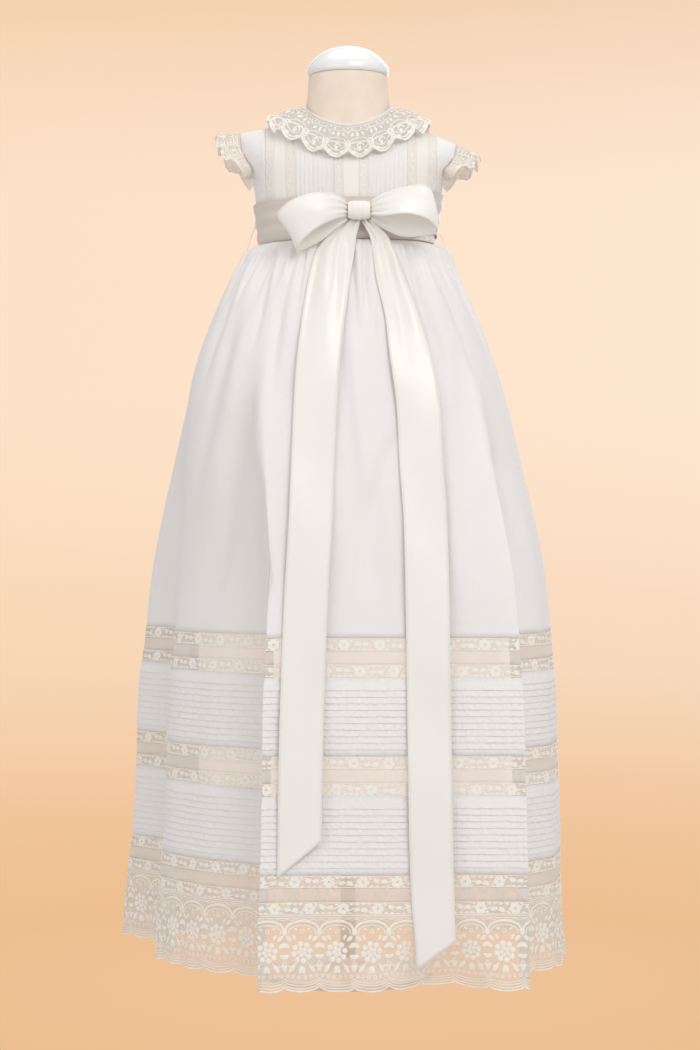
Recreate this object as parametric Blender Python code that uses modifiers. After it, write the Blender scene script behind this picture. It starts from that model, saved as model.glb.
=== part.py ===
"""Christening gown on a child's limbless dress form, modelled at its real size.

Metres, +Z up. The gown's front faces -Y and the viewer's right is +X. The origin is under the
middle of the round base, on the surface that the form stands on.

Every cloth piece is a wall lofted through rings or rows that are worked out from the tables below:
the skirt's sections, the slip's plan, the bodice's outline, the armholes, the ribbon tails and the
bow's loops.
"""

import math
from collections import namedtuple

import bmesh
import bpy
from mathutils import Vector

# Cloth, lace and the gap that neighbours keep at a seam
CLOTH = 0.0014
BODICE_CLOTH = 0.001
RIBBON = 0.001
SEAM_GAP = 0.0003
SQUARENESS = 2.3
WAIST = 0.728

# The skirt, from the waist seam down: outline at each height, measured from the form's axis
SkirtSection = namedtuple("SkirtSection", "height left right front back")
SKIRT = (
    SkirtSection(0.728, 0.0850, 0.0855, 0.0735, 0.0695),
    SkirtSection(0.716, 0.0985, 0.0950, 0.0850, 0.0810),
    SkirtSection(0.695, 0.1130, 0.1060, 0.0960, 0.0910),
    SkirtSection(0.655, 0.1330, 0.1260, 0.1100, 0.1050),
    SkirtSection(0.575, 0.1630, 0.1570, 0.1290, 0.1250),
    SkirtSection(0.515, 0.1760, 0.1720, 0.1400, 0.1370),
    SkirtSection(0.455, 0.1860, 0.1870, 0.1480, 0.1460),
    SkirtSection(0.395, 0.1940, 0.1980, 0.1540, 0.1530),
    SkirtSection(0.335, 0.2000, 0.2040, 0.1590, 0.1590),
    SkirtSection(0.275, 0.2070, 0.2080, 0.1620, 0.1630),
    SkirtSection(0.155, 0.2110, 0.2120, 0.1660, 0.1680),
    SkirtSection(0.055, 0.2200, 0.2140, 0.1700, 0.1730),
    SkirtSection(0.005, 0.2200, 0.2180, 0.1720, 0.1760),
)

# Bands of the skirt: three pairs of lace insertions with sheer tulle between, and two tucked panels
INSERTION = 0.0120
TULLE = 0.0125
BAND = 2 * INSERTION + TULLE
TUCKED = 0.0735
UPPER_BAND_TOP = 0.3440
MIDDLE_BAND_TOP = UPPER_BAND_TOP - BAND - TUCKED
LOWER_BAND_TOP = MIDDLE_BAND_TOP - BAND - TUCKED
HEM_LACE_TOP = LOWER_BAND_TOP - BAND
HEM = 0.0165
TUCKS_PER_PANEL = 10
TUCK_PITCH = 0.0061
TUCK_RISE = 0.0008

# Points round the skirt, gathers at its waist and scallops at its hem
AROUND = 40
FIRST_ANGLE = 2.0
GATHERS = 40
GATHER_DEPTH = 0.0030
GATHER_END = 0.655
SCALLOP_DROP = 0.0045

# The hem seen from above, with its large folds. place is the angle from the front that the same
# thread has at the waist. The folds grow from the plain waist down to FULL_FOLDS.
HemPoint = namedtuple("HemPoint", "place x y")
HEM_PLAN = (
    HemPoint(-187.0, 0.028, 0.176),
    HemPoint(-178.0, -0.004, 0.168),
    HemPoint(-160.0, -0.066, 0.182),
    HemPoint(-151.0, -0.100, 0.178),
    HemPoint(-133.0, -0.160, 0.158),
    HemPoint(-124.0, -0.192, 0.172),
    HemPoint(-106.0, -0.235, 0.140),
    HemPoint(-88.0, -0.190, 0.082),
    HemPoint(-79.0, -0.177, 0.046),
    HemPoint(-70.0, -0.192, 0.012),
    HemPoint(-52.0, -0.148, -0.056),
    HemPoint(-34.0, -0.077, -0.116),
    HemPoint(-25.0, -0.084, -0.171),
    HemPoint(-7.0, -0.026, -0.166),
    HemPoint(11.0, 0.038, -0.167),
    HemPoint(29.0, 0.104, -0.161),
    HemPoint(47.0, 0.172, -0.163),
    HemPoint(56.0, 0.165, -0.106),
    HemPoint(74.0, 0.208, -0.040),
    HemPoint(92.0, 0.220, 0.036),
    HemPoint(110.0, 0.196, 0.104),
    HemPoint(128.0, 0.184, 0.164),
    HemPoint(146.0, 0.126, 0.158),
    HemPoint(164.0, 0.062, 0.182),
    HemPoint(182.0, -0.004, 0.168),
)
FOLDS_START = 0.640
FULL_FOLDS = 0.370
HEM_RIPPLES = 20
HEM_RIPPLE = 0.0030
HEM_RIPPLE_START = 0.090
HEM_VALLEY = 24.0
HEM_VALLEY_WIDTH = 16.0
HEM_VALLEY_DEPTH = 0.034

# The plain slip inside the skirt: its waist edge lies on the form, and it hangs clear of the skirt
SLIP_TOP = 0.722
SLIP_HIPS = 0.668
SLIP_FREE = 0.570
SLIP_HUNG = 0.380
SLIP_HEM = 0.128
SLIP_CLOTH = 0.001
SLIP_EASE = 0.0005
SLIP_ROOM = 0.0065
SLIP_AROUND = 30
SlipPoint = namedtuple("SlipPoint", "place x y")
SLIP_PLAN = (
    SlipPoint(-190.0, 0.030, 0.140),
    SlipPoint(-170.0, -0.030, 0.143),
    SlipPoint(-150.0, -0.092, 0.145),
    SlipPoint(-122.0, -0.134, 0.114),
    SlipPoint(-96.0, -0.150, 0.060),
    SlipPoint(-74.0, -0.147, 0.006),
    SlipPoint(-54.0, -0.118, -0.046),
    SlipPoint(-34.0, -0.064, -0.090),
    SlipPoint(-10.0, -0.012, -0.116),
    SlipPoint(20.0, 0.064, -0.122),
    SlipPoint(42.0, 0.132, -0.116),
    SlipPoint(58.0, 0.152, -0.084),
    SlipPoint(76.0, 0.160, -0.036),
    SlipPoint(96.0, 0.163, 0.040),
    SlipPoint(122.0, 0.155, 0.114),
    SlipPoint(146.0, 0.100, 0.139),
    SlipPoint(170.0, 0.030, 0.140),
    SlipPoint(190.0, -0.030, 0.143),
)

# The bodice's outline. up is 0 at the waist, 1 at the underarm and 2 on the shoulder seam.
BodiceSection = namedtuple("BodiceSection", "up side front back")
BODICE = (
    BodiceSection(0.00, 0.0865, 0.0745, 0.0700),
    BodiceSection(0.36, 0.0885, 0.0765, 0.0715),
    BodiceSection(0.76, 0.0925, 0.0770, 0.0720),
    BodiceSection(1.00, 0.0950, 0.0770, 0.0720),
    BodiceSection(1.12, 0.0990, 0.0770, 0.0720),
    BodiceSection(1.25, 0.1045, 0.0770, 0.0720),
    BodiceSection(1.36, 0.1080, 0.0770, 0.0720),
    BodiceSection(1.55, 0.1095, 0.0770, 0.0720),
    BodiceSection(2.00, 0.1100, 0.0770, 0.0720),
)
UNDERARM = 0.790

# Height that the front and the back rise to. Outside the neckline it is the shoulder seam's height.
ShoulderPoint = namedtuple("ShoulderPoint", "x front back")
SHOULDER = (
    ShoulderPoint(-0.1080, 0.841, 0.841),
    ShoulderPoint(-0.0765, 0.847, 0.847),
    ShoulderPoint(-0.0490, 0.862, 0.862),
    ShoulderPoint(0.0000, 0.851, 0.880),
    ShoulderPoint(0.0490, 0.862, 0.862),
    ShoulderPoint(0.0785, 0.842, 0.842),
    ShoulderPoint(0.1080, 0.830, 0.830),
)
ArmholePoint = namedtuple("ArmholePoint", "up x")
ARMHOLE = (
    ArmholePoint(1.00, 0.0950),
    ArmholePoint(1.12, 0.0932),
    ArmholePoint(1.26, 0.0996),
    ArmholePoint(1.48, 0.1056),
    ArmholePoint(2.00, 0.1080),
)

# The neckline, an ellipse seen from above
NECK_SIDE = 0.0490
NECK_FRONT = 0.0470
NECK_BACK = 0.0450
BINDING_HEIGHT = 0.005
BINDING_THICK = 0.0016
BACK_SLIT = 1.2

# Strips of the bodice's front, from its middle out to one side
GOWN_MIDDLE = 0.003
CENTRE_TULLE = 0.0158
FRONT_INSERTION = 0.0086
FRONT_TUCKED = 0.0386
SIDE_INSERTION = 0.0086
SIDE_TULLE = 0.0118
FRONT_TUCKS = 9
FRONT_TUCK_RISE = 0.0007
LAP = 0.006
LAP_LIFT = 0.0014

# Collar and sleeve ruffles of gathered lace
COLLAR_SIDE = 0.0785
COLLAR_FRONT_DROP = 0.86
COLLAR_BACK_DROP = 0.72
COLLAR_LIFT = 0.0032
COLLAR_SCALLOPS = 20
COLLAR_WAVE = 0.0026
RufflePoint = namedtuple("RufflePoint", "rise out forward up")
SLEEVE_RUFFLE = (
    RufflePoint(0.00, 0.004, 0.016, -0.005),
    RufflePoint(0.25, 0.013, 0.017, -0.006),
    RufflePoint(0.50, 0.022, 0.013, -0.006),
    RufflePoint(0.75, 0.025, 0.008, -0.003),
    RufflePoint(1.00, 0.024, 0.000, 0.000),
)
SLEEVE_LIFT = {"left": -0.002, "right": -0.014}
SLEEVE_SCALLOPS = 8
SLEEVE_WAVE = 0.0026

# Satin ribbon: the sash, the bow and its two tails
RIBBON_WIDTH = 0.040
SASH_BOTTOM = 0.7272
SASH_CLEAR = 0.0025
SASH_RISE_RIGHT = 0.010
TAIL_CLEAR = 0.0016
Tail = namedtuple("Tail", "height middle width")
LEFT_TAIL = (
    Tail(0.7438, 0.0045, 0.016),
    Tail(0.7260, -0.0070, 0.030),
    Tail(0.7090, -0.0134, 0.038),
    Tail(0.6490, -0.0232, 0.041),
    Tail(0.5850, -0.0297, 0.041),
    Tail(0.5200, -0.0325, 0.041),
    Tail(0.4550, -0.0349, 0.041),
    Tail(0.3800, -0.0392, 0.041),
    Tail(0.3200, -0.0414, 0.041),
    Tail(0.2345, -0.0437, 0.041),
    Tail(0.1390, -0.0452, 0.041),
)
RIGHT_TAIL = (
    Tail(0.7438, 0.0185, 0.011),
    Tail(0.7260, 0.0310, 0.018),
    Tail(0.6870, 0.0412, 0.028),
    Tail(0.6490, 0.0524, 0.034),
    Tail(0.6090, 0.0598, 0.040),
    Tail(0.5570, 0.0667, 0.041),
    Tail(0.5040, 0.0691, 0.041),
    Tail(0.4550, 0.0727, 0.041),
    Tail(0.3800, 0.0743, 0.041),
    Tail(0.3080, 0.0752, 0.041),
    Tail(0.2345, 0.0763, 0.041),
    Tail(0.1620, 0.0772, 0.041),
    Tail(0.1020, 0.0790, 0.040),
    Tail(0.0500, 0.0826, 0.036),
)
LEFT_TAIL_SLANT = 0.034
RIGHT_TAIL_SLANT = 0.026

# The bow: each row is the middle of the ribbon, its width, and which way its lower edge points
LoopRow = namedtuple("LoopRow", "x y z width edge_x edge_y")
LEFT_LOOP = (
    LoopRow(-0.0004, -0.0935, 0.7545, 0.014, 0.00, 0.00),
    LoopRow(-0.0120, -0.1020, 0.7550, 0.025, 0.00, -0.10),
    LoopRow(-0.0300, -0.1095, 0.7505, 0.034, 0.10, -0.12),
    LoopRow(-0.0470, -0.1105, 0.7420, 0.038, 0.32, -0.05),
    LoopRow(-0.0560, -0.1060, 0.7335, 0.039, 0.46, 0.00),
    LoopRow(-0.0580, -0.1000, 0.7293, 0.039, 0.50, 0.05),
    LoopRow(-0.0545, -0.0950, 0.7300, 0.039, 0.44, 0.05),
    LoopRow(-0.0440, -0.0925, 0.7345, 0.038, 0.30, 0.00),
    LoopRow(-0.0270, -0.0905, 0.7405, 0.034, 0.12, 0.00),
    LoopRow(-0.0110, -0.0900, 0.7470, 0.024, 0.00, 0.00),
    LoopRow(-0.0004, -0.0900, 0.7500, 0.014, 0.00, 0.00),
)
RIGHT_LOOP = (
    LoopRow(0.0224, -0.0935, 0.7545, 0.014, 0.00, 0.00),
    LoopRow(0.0350, -0.1010, 0.7565, 0.024, 0.00, -0.30),
    LoopRow(0.0530, -0.1065, 0.7590, 0.033, 0.02, -0.55),
    LoopRow(0.0700, -0.1065, 0.7590, 0.037, 0.08, -0.40),
    LoopRow(0.0800, -0.1020, 0.7550, 0.038, 0.12, -0.15),
    LoopRow(0.0838, -0.0965, 0.7515, 0.039, 0.13, 0.00),
    LoopRow(0.0800, -0.0915, 0.7485, 0.039, 0.12, 0.00),
    LoopRow(0.0700, -0.0890, 0.7460, 0.037, 0.08, 0.00),
    LoopRow(0.0520, -0.0880, 0.7440, 0.033, 0.02, 0.00),
    LoopRow(0.0350, -0.0890, 0.7465, 0.024, 0.00, 0.00),
    LoopRow(0.0221, -0.0900, 0.7500, 0.014, 0.00, 0.00),
)
LOOP_PLEAT = 0.0016
KNOT_MIDDLE = Vector((0.0107, -0.0902, 0.7525))
KNOT_HALF = Vector((0.0108, 0.0098, 0.0090))

# The dress form: body sections, cap, pole and base
FormSection = namedtuple("FormSection", "height side front back")
FORM = (
    FormSection(0.6000, 0.0560, 0.0480, 0.0460),
    FormSection(0.6040, 0.0660, 0.0570, 0.0540),
    FormSection(0.6140, 0.0740, 0.0640, 0.0600),
    FormSection(0.6500, 0.0800, 0.0690, 0.0650),
    FormSection(0.7280, 0.0800, 0.0690, 0.0655),
    FormSection(0.7600, 0.0850, 0.0725, 0.0675),
    FormSection(0.7900, 0.0905, 0.0725, 0.0675),
    FormSection(0.8150, 0.0905, 0.0640, 0.0625),
    FormSection(0.8280, 0.0870, 0.0545, 0.0580),
    FormSection(0.8380, 0.0760, 0.0430, 0.0520),
    FormSection(0.8460, 0.0580, 0.0410, 0.0460),
    FormSection(0.8540, 0.0455, 0.0402, 0.0405),
    FormSection(0.8630, 0.0430, 0.0395, 0.0395),
    FormSection(0.8800, 0.0405, 0.0380, 0.0380),
    FormSection(0.8960, 0.0393, 0.0370, 0.0370),
    FormSection(0.8985, 0.0380, 0.0360, 0.0360),
)
CapSection = namedtuple("CapSection", "height half")
CAP = (
    CapSection(0.8988, 0.0390),
    CapSection(0.9010, 0.0406),
    CapSection(0.9060, 0.0402),
    CapSection(0.9120, 0.0365),
    CapSection(0.9190, 0.0290),
    CapSection(0.9245, 0.0190),
    CapSection(0.9275, 0.0080),
)
FORM_AROUND = 24
POLE_RADIUS = 0.0075
BASE_RADIUS = 0.084
BASE_HEIGHT = 0.007
HUB_RADIUS = 0.017
HUB_HEIGHT = 0.012
SOCKET_RADIUS = 0.018
SOCKET_HEIGHT = 0.014
BUTTON_RADIUS = 0.0045
BUTTON_THICK = 0.0018
BUTTONS_UP = (0.90, 1.12, 1.32)

# Colour, roughness and metallic of each finish
FINISHES = {
    "batiste": ((0.86, 0.85, 0.84), 0.85, 0.0),
    "tulle": ((0.80, 0.77, 0.72), 0.90, 0.0),
    "lace": ((0.83, 0.79, 0.70), 0.90, 0.0),
    "satin": ((0.87, 0.85, 0.78), 0.35, 0.0),
    "linen": ((0.76, 0.68, 0.57), 0.90, 0.0),
    "lacquer": ((0.85, 0.85, 0.86), 0.25, 0.0),
    "pearl": ((0.88, 0.86, 0.82), 0.25, 0.0),
}


def clear_scene():
    for obj in list(bpy.data.objects):
        bpy.data.objects.remove(obj, do_unlink=True)
    gown = bpy.data.collections.new("christening_gown")
    bpy.context.scene.collection.children.link(gown)
    return gown


def finish(name):
    """The Principled material of one finish, made once."""
    if name in bpy.data.materials:
        return bpy.data.materials[name]
    colour, roughness, metallic = FINISHES[name]
    material = bpy.data.materials.new(name)
    material.use_nodes = True
    shader = material.node_tree.nodes["Principled BSDF"]
    shader.inputs["Base Color"].default_value = (*colour, 1.0)
    shader.inputs["Roughness"].default_value = roughness
    shader.inputs["Metallic"].default_value = metallic
    return material


def smooth_step(t):
    t = min(max(t, 0.0), 1.0)
    return t * t * (3.0 - 2.0 * t)


def read_table(rows, at, column, key):
    """A smooth curve through one column of a table, at a place along its key column."""
    keys = [getattr(row, key) for row in rows]
    values = [getattr(row, column) for row in rows]
    if keys[0] > keys[-1]:
        keys.reverse()
        values.reverse()
    at = min(max(at, keys[0]), keys[-1])
    i = 0
    while i < len(keys) - 2 and at > keys[i + 1]:
        i += 1
    slopes = [(values[j + 1] - values[j]) / (keys[j + 1] - keys[j]) for j in range(len(keys) - 1)]

    def tangent(j):
        before, after = slopes[max(j - 1, 0)], slopes[min(j, len(slopes) - 1)]
        if before * after <= 0:
            return 0.0
        return 2.0 * before * after / (before + after)

    step = keys[i + 1] - keys[i]
    t = (at - keys[i]) / step
    start = values[i] * (1 - t) ** 2 * (1 + 2 * t) + tangent(i) * step * t * (1 - t) ** 2
    end = values[i + 1] * t * t * (3 - 2 * t) - tangent(i + 1) * step * t * t * (1 - t)
    return start + end


def squared(value):
    """Sine or cosine pulled outwards, which turns an ellipse into a superellipse."""
    return math.copysign(abs(value) ** (2.0 / SQUARENESS), value)


def bridge(mesh, one, two):
    """Faces between two closed rows, of equal count or one with a multiple of the other's points."""
    if len(one) == len(two):
        for i in range(len(one)):
            j = (i + 1) % len(one)
            mesh.faces.new((one[i], one[j], two[j], two[i]))
        return
    fine, coarse = (one, two) if len(one) > len(two) else (two, one)
    share = len(fine) // len(coarse)
    for i in range(len(coarse)):
        start, end = coarse[i], coarse[(i + 1) % len(coarse)]
        span = [fine[(i * share + k) % len(fine)] for k in range(share + 1)]
        turn = (share + 1) // 2
        for k in range(share):
            mesh.faces.new((span[k], span[k + 1], start if k < turn else end))
        mesh.faces.new((span[turn], end, start))


def cap_wall(mesh, row):
    """Closes a wall's end: the row runs along its outer points and back along its inner ones."""
    half = len(row) // 2
    for i in range(half - 1):
        mesh.faces.new((row[i], row[i + 1], row[-2 - i], row[-1 - i]))


def loft(name, rows, material, around=False, wall=True):
    """A closed solid through closed rows of points. around joins the last row to the first. Otherwise
    both ends are capped, as a wall's end or as one flat face."""
    mesh = bmesh.new()
    made = [[mesh.verts.new(point) for point in row] for row in rows]
    for one, two in zip(made, made[1:]):
        bridge(mesh, one, two)
    if around:
        bridge(mesh, made[-1], made[0])
    elif wall:
        cap_wall(mesh, made[0])
        cap_wall(mesh, made[-1])
    else:
        mesh.faces.new(made[0])
        mesh.faces.new(made[-1])
    bmesh.ops.recalc_face_normals(mesh, faces=mesh.faces)
    if mesh.calc_volume(signed=True) < 0:
        bmesh.ops.reverse_faces(mesh, faces=mesh.faces)
    data = bpy.data.meshes.new(name)
    mesh.to_mesh(data)
    mesh.free()
    data.shade_smooth()
    data.set_sharp_from_angle(angle=math.radians(40))
    return add(name, data, material)


def add(name, data, material):
    obj = bpy.data.objects.new(name, data)
    data.materials.clear()
    data.materials.append(finish(material))
    bpy.data.collections["christening_gown"].objects.link(obj)
    return obj


def grid_normals(grid):
    """A unit normal for each point of a grid of rows, from its neighbours."""
    normals = []
    last_row, last_point = len(grid) - 1, len(grid[0]) - 1
    for i, row in enumerate(grid):
        line = []
        for j in range(len(row)):
            down = grid[min(i + 1, last_row)][j] - grid[max(i - 1, 0)][j]
            across = row[min(j + 1, last_point)] - row[max(j - 1, 0)]
            line.append(down.cross(across).normalized())
        normals.append(line)
    return normals


def cloth_wall(name, grid, thickness, material):
    """An open sheet given as rows of outer points, thickened to its inner side."""
    normals = grid_normals(grid)
    rows = []
    for row, line in zip(grid, normals):
        inner = [point - normal * thickness for point, normal in zip(row, line)]
        rows.append(row + inner[::-1])
    return loft(name, rows, material)


def between(low, high, count):
    return [low + (high - low) * i / (count - 1) for i in range(count)]


# Skirt


def gather_wave(angle, height):
    """The fine pleats that the waist seam draws the cloth into."""
    if height <= GATHER_END:
        return 0.0
    reach = (height - GATHER_END) / (WAIST - GATHER_END)
    strength = smooth_step(reach * 1.6) * (1.0 - 0.35 * smooth_step((reach - 0.7) / 0.3))
    uneven = 0.8 + 0.2 * math.sin(math.radians(angle) * 7.0)
    return GATHER_DEPTH * strength * uneven * math.cos(math.radians(angle - FIRST_ANGLE) * GATHERS)


def hem_ripple(angle, height):
    """Waves of the hem's lace, and the valley that it falls into behind the right ribbon."""
    strength = smooth_step((HEM_RIPPLE_START - height) / HEM_RIPPLE_START)
    wave = HEM_RIPPLE * math.cos(math.radians(angle - FIRST_ANGLE) * HEM_RIPPLES)
    valley = HEM_VALLEY_DEPTH * (1.0 - smooth_step(abs(angle - HEM_VALLEY) / HEM_VALLEY_WIDTH))
    return strength * (wave - valley)


def skirt_plan(angle, height):
    """A point of the skirt's outline at this height: an oval at the waist, folded at the hem."""
    angle = (angle + 180.0) % 360.0 - 180.0
    turn = math.radians(angle)
    side, depth = "right" if angle > 0 else "left", "front" if abs(angle) < 90.0 else "back"
    half, reach = read_table(SKIRT, height, side, "height"), read_table(SKIRT, height, depth, "height")
    oval = Vector((half * squared(math.sin(turn)), -reach * squared(math.cos(turn)), 0.0))
    narrower = half / getattr(SKIRT[-1], side)
    shallower = reach / getattr(SKIRT[-1], depth)
    folded = Vector((0.0, 0.0, 0.0))
    folded.x = read_table(HEM_PLAN, angle, "x", "place") * narrower
    folded.y = read_table(HEM_PLAN, angle, "y", "place") * shallower
    return oval.lerp(folded, smooth_step((FOLDS_START - height) / (FOLDS_START - FULL_FOLDS)))


def skirt_point(angle, height, out=0.0):
    """A point on the skirt's outer face, at degrees from the front towards +X, moved out."""
    angle = (angle + 180.0) % 360.0 - 180.0
    along = skirt_plan(angle + 2.0, height) - skirt_plan(angle - 2.0, height)
    away = Vector((along.y, -along.x, 0.0)).normalized()
    moved = out + gather_wave(angle, height) + hem_ripple(angle, height)
    point = skirt_plan(angle, height) + away * moved
    point.z = height
    return point


def skirt_ring(height, count=AROUND, out=0.0):
    return [skirt_point(FIRST_ANGLE + 360.0 * i / count, height, out) for i in range(count)]


def skirt_tube(name, outer, material, inner_heights):
    """A tube of cloth: outer rings from the top down, then plain inner rings back up."""
    inner = [skirt_ring(height, count, -CLOTH) for height, count in inner_heights]
    return loft(name, outer + inner, material, around=True)


def build_skirt_panel():
    """The plain batiste from the gathered waist to the first insertion."""
    gathered = [(height, 2 * AROUND) for height in (WAIST, 0.716, 0.700, 0.680)]
    plain = [(height, AROUND) for height in (0.655, 0.605, 0.540, 0.450, UPPER_BAND_TOP + SEAM_GAP)]
    heights = gathered + plain
    outer = [skirt_ring(height, count) for height, count in heights]
    skirt_tube("skirt_panel", outer, "batiste", heights[::-1])


def build_plain_ring(name, top, height, material):
    low = top - height + SEAM_GAP
    outer = [skirt_ring(top), skirt_ring(low)]
    skirt_tube(name, outer, material, ((low, AROUND), (top, AROUND)))


def build_band(name, top):
    """Lace insertion, sheer tulle and lace insertion."""
    build_plain_ring(name + "_insertion_upper", top, INSERTION, "lace")
    build_plain_ring(name + "_tulle", top - INSERTION, TULLE, "tulle")
    build_plain_ring(name + "_insertion_lower", top - INSERTION - TULLE, INSERTION, "lace")


def build_tucked_panel(name, top):
    """Ten narrow tucks, each standing off the wall at its lower edge."""
    low = top - TUCKED + SEAM_GAP
    first = top - (TUCKED - TUCKS_PER_PANEL * TUCK_PITCH) / 2
    outer = [skirt_ring(top)]
    for i in range(TUCKS_PER_PANEL):
        edge = first - (i + 0.9) * TUCK_PITCH
        outer.append(skirt_ring(edge, out=TUCK_RISE))
        outer.append(skirt_ring(edge - 0.1 * TUCK_PITCH))
    outer.append(skirt_ring(low))
    skirt_tube(name, outer, "batiste", ((low, AROUND), (top, AROUND)))


def build_hem_lace():
    """Wide lace with a scalloped lower edge, a notch at every third point."""
    edge, inner_edge = [], []
    for i in range(3 * AROUND):
        angle = FIRST_ANGLE + 120.0 * i / AROUND
        height = HEM + (SCALLOP_DROP if i % 3 == 0 else 0.0)
        edge.append(skirt_point(angle, height))
        inner_edge.append(skirt_point(angle, height, -CLOTH))
    rows = [skirt_ring(HEM_LACE_TOP), edge, inner_edge, skirt_ring(HEM_LACE_TOP, out=-CLOTH)]
    loft("hem_lace", rows, "lace", around=True)


def slip_plan(angle, height):
    """The slip's outline: round the form at its waist, near the skirt at the hips, free below."""
    turn = math.radians(angle)
    lying = SEAM_GAP + SLIP_EASE + SLIP_CLOTH
    side, front, back = (read_table(FORM, height, name, "height") + lying for name in ("side", "front", "back"))
    depth = front if math.cos(turn) > 0 else back
    waist = Vector((side * math.sin(turn), -depth * math.cos(turn)))
    skirt = skirt_plan(angle, height)
    along = skirt_plan(angle + 2.0, height) - skirt_plan(angle - 2.0, height)
    lining = Vector((skirt.x, skirt.y)) - Vector((along.y, -along.x)).normalized() * SLIP_ROOM
    place = (angle + 180.0) % 360.0 - 180.0
    hung = Vector((read_table(SLIP_PLAN, place, "x", "place"), read_table(SLIP_PLAN, place, "y", "place")))
    upper = waist.lerp(lining, smooth_step((SLIP_TOP - height) / (SLIP_TOP - SLIP_HIPS)))
    return upper.lerp(hung, smooth_step((SLIP_FREE - height) / (SLIP_FREE - SLIP_HUNG)))


def slip_point(angle, height, out=0.0):
    """A point on the slip, moved out from its outer face, at degrees from the front towards +X."""
    plan = slip_plan(angle, height)
    along = slip_plan(angle + 2.0, height) - slip_plan(angle - 2.0, height)
    plan += Vector((along.y, -along.x)).normalized() * out
    return Vector((plan.x, plan.y, height))


def slip_ring(height, out=0.0):
    return [slip_point(FIRST_ANGLE + 360.0 * i / SLIP_AROUND, height, out) for i in range(SLIP_AROUND)]


def build_slip():
    """A plain tube of batiste, open at the waist and at its hem."""
    heights = (SLIP_TOP, SLIP_HIPS, SLIP_FREE, SLIP_HUNG, SLIP_HEM)
    outer = [slip_ring(height) for height in heights]
    inner = [slip_ring(height, -SLIP_CLOTH) for height in heights[::-1]]
    loft("slip", outer + inner, "batiste", around=True)


def build_skirt():
    build_slip()
    build_skirt_panel()
    build_band("upper_band", UPPER_BAND_TOP)
    build_tucked_panel("upper_tucks", UPPER_BAND_TOP - BAND)
    build_band("middle_band", MIDDLE_BAND_TOP)
    build_tucked_panel("lower_tucks", MIDDLE_BAND_TOP - BAND)
    build_band("lower_band", LOWER_BAND_TOP)
    build_hem_lace()


# Bodice


def bodice_size(up, column):
    return read_table(BODICE, up, column, "up")


def body_surface(turn, up, face):
    """A point of the bodice's outer face, at radians from its middle and at a place up."""
    rise = max(0.0, up - 1.0) * math.pi / 2
    x = bodice_size(up, "side") * squared(math.sin(turn))
    depth = bodice_size(up, face) * squared(math.cos(turn)) * math.cos(rise) + SEAM_GAP / 2
    if up <= 1.0:
        height = WAIST + (UNDERARM - WAIST) * up
    else:
        height = UNDERARM + (read_table(SHOULDER, x, face, "x") - UNDERARM) * math.sin(rise)
    return Vector((x, -depth if face == "front" else depth, height))


def body_point(x, up, face, out=0.0):
    """The point at this x on the bodice, moved out along the surface's normal."""
    share = min(abs(x) / bodice_size(up, "side"), 1.0)
    turn = math.copysign(math.asin(share ** (SQUARENESS / 2)), x)
    point = body_surface(turn, up, face)
    if not out:
        return point
    step = 0.01
    turn = min(max(turn, step - math.pi / 2), math.pi / 2 - step)
    across = body_surface(turn + step, up, face) - body_surface(turn - step, up, face)
    high, low = min(up + step, 2.0), max(up - step, 0.0)
    along = body_surface(turn, high, face) - body_surface(turn, low, face)
    normal = along.cross(across) if face == "back" else across.cross(along)
    return point + normal.normalized() * out


def neck_up(x, face):
    """Where the neckline crosses the bodice at this x, or the shoulder seam outside it."""
    inside = 1.0 - (x / NECK_SIDE) ** 2
    if inside <= 0.0:
        return 2.0
    depth = (NECK_FRONT if face == "front" else NECK_BACK) * math.sqrt(inside)
    across = (1.0 - (abs(x) / bodice_size(1.6, "side")) ** SQUARENESS) ** (1.0 / SQUARENESS)
    return 1.0 + math.acos(depth / (bodice_size(1.6, face) * across)) * 2 / math.pi


def neck_point(turn):
    """A point of the neckline, at radians from the front."""
    face = "front" if math.cos(turn) > 0 else "back"
    x = NECK_SIDE * math.sin(turn)
    return body_point(x, neck_up(x, face), face)


def drawn_in(x, up):
    """Strips run straight down, and draw in with the side seams near the waist."""
    return x * min(1.0, bodice_size(up, "side") / bodice_size(0.8, "side"))


def rows_up(top, upper, lower):
    """Places from a top edge down to the waist, with this many steps above and below the underarm."""
    above = [1.0 + (top - 1.0) * (1.0 - i / upper) for i in range(upper)]
    return above + [1.0 - i / lower for i in range(lower)] + [0.01]


def build_strip(name, left, right, material):
    """A strip of the bodice's front from its top edge to the waist."""
    columns = []
    for x in between(left + SEAM_GAP / 2, right - SEAM_GAP / 2, 3):
        places = rows_up(neck_up(x, "front"), 5, 3)
        columns.append([(drawn_in(x, up), up) for up in places])
    bodice_wall(name, columns, "front", material)


def bodice_wall(name, columns, face, material, lift=None):
    """A wall on the bodice from columns of (x, up) places, moved out by lift where that is given."""
    rows = []
    for places in zip(*columns):
        outs = [lift(x) if lift else 0.0 for x, _ in places]
        outer = [body_point(x, up, face, out) for (x, up), out in zip(places, outs)]
        inner = [body_point(x, up, face, out - BODICE_CLOTH) for (x, up), out in zip(places, outs)]
        rows.append(outer + inner[::-1])
    loft(name, rows, material)


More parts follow.
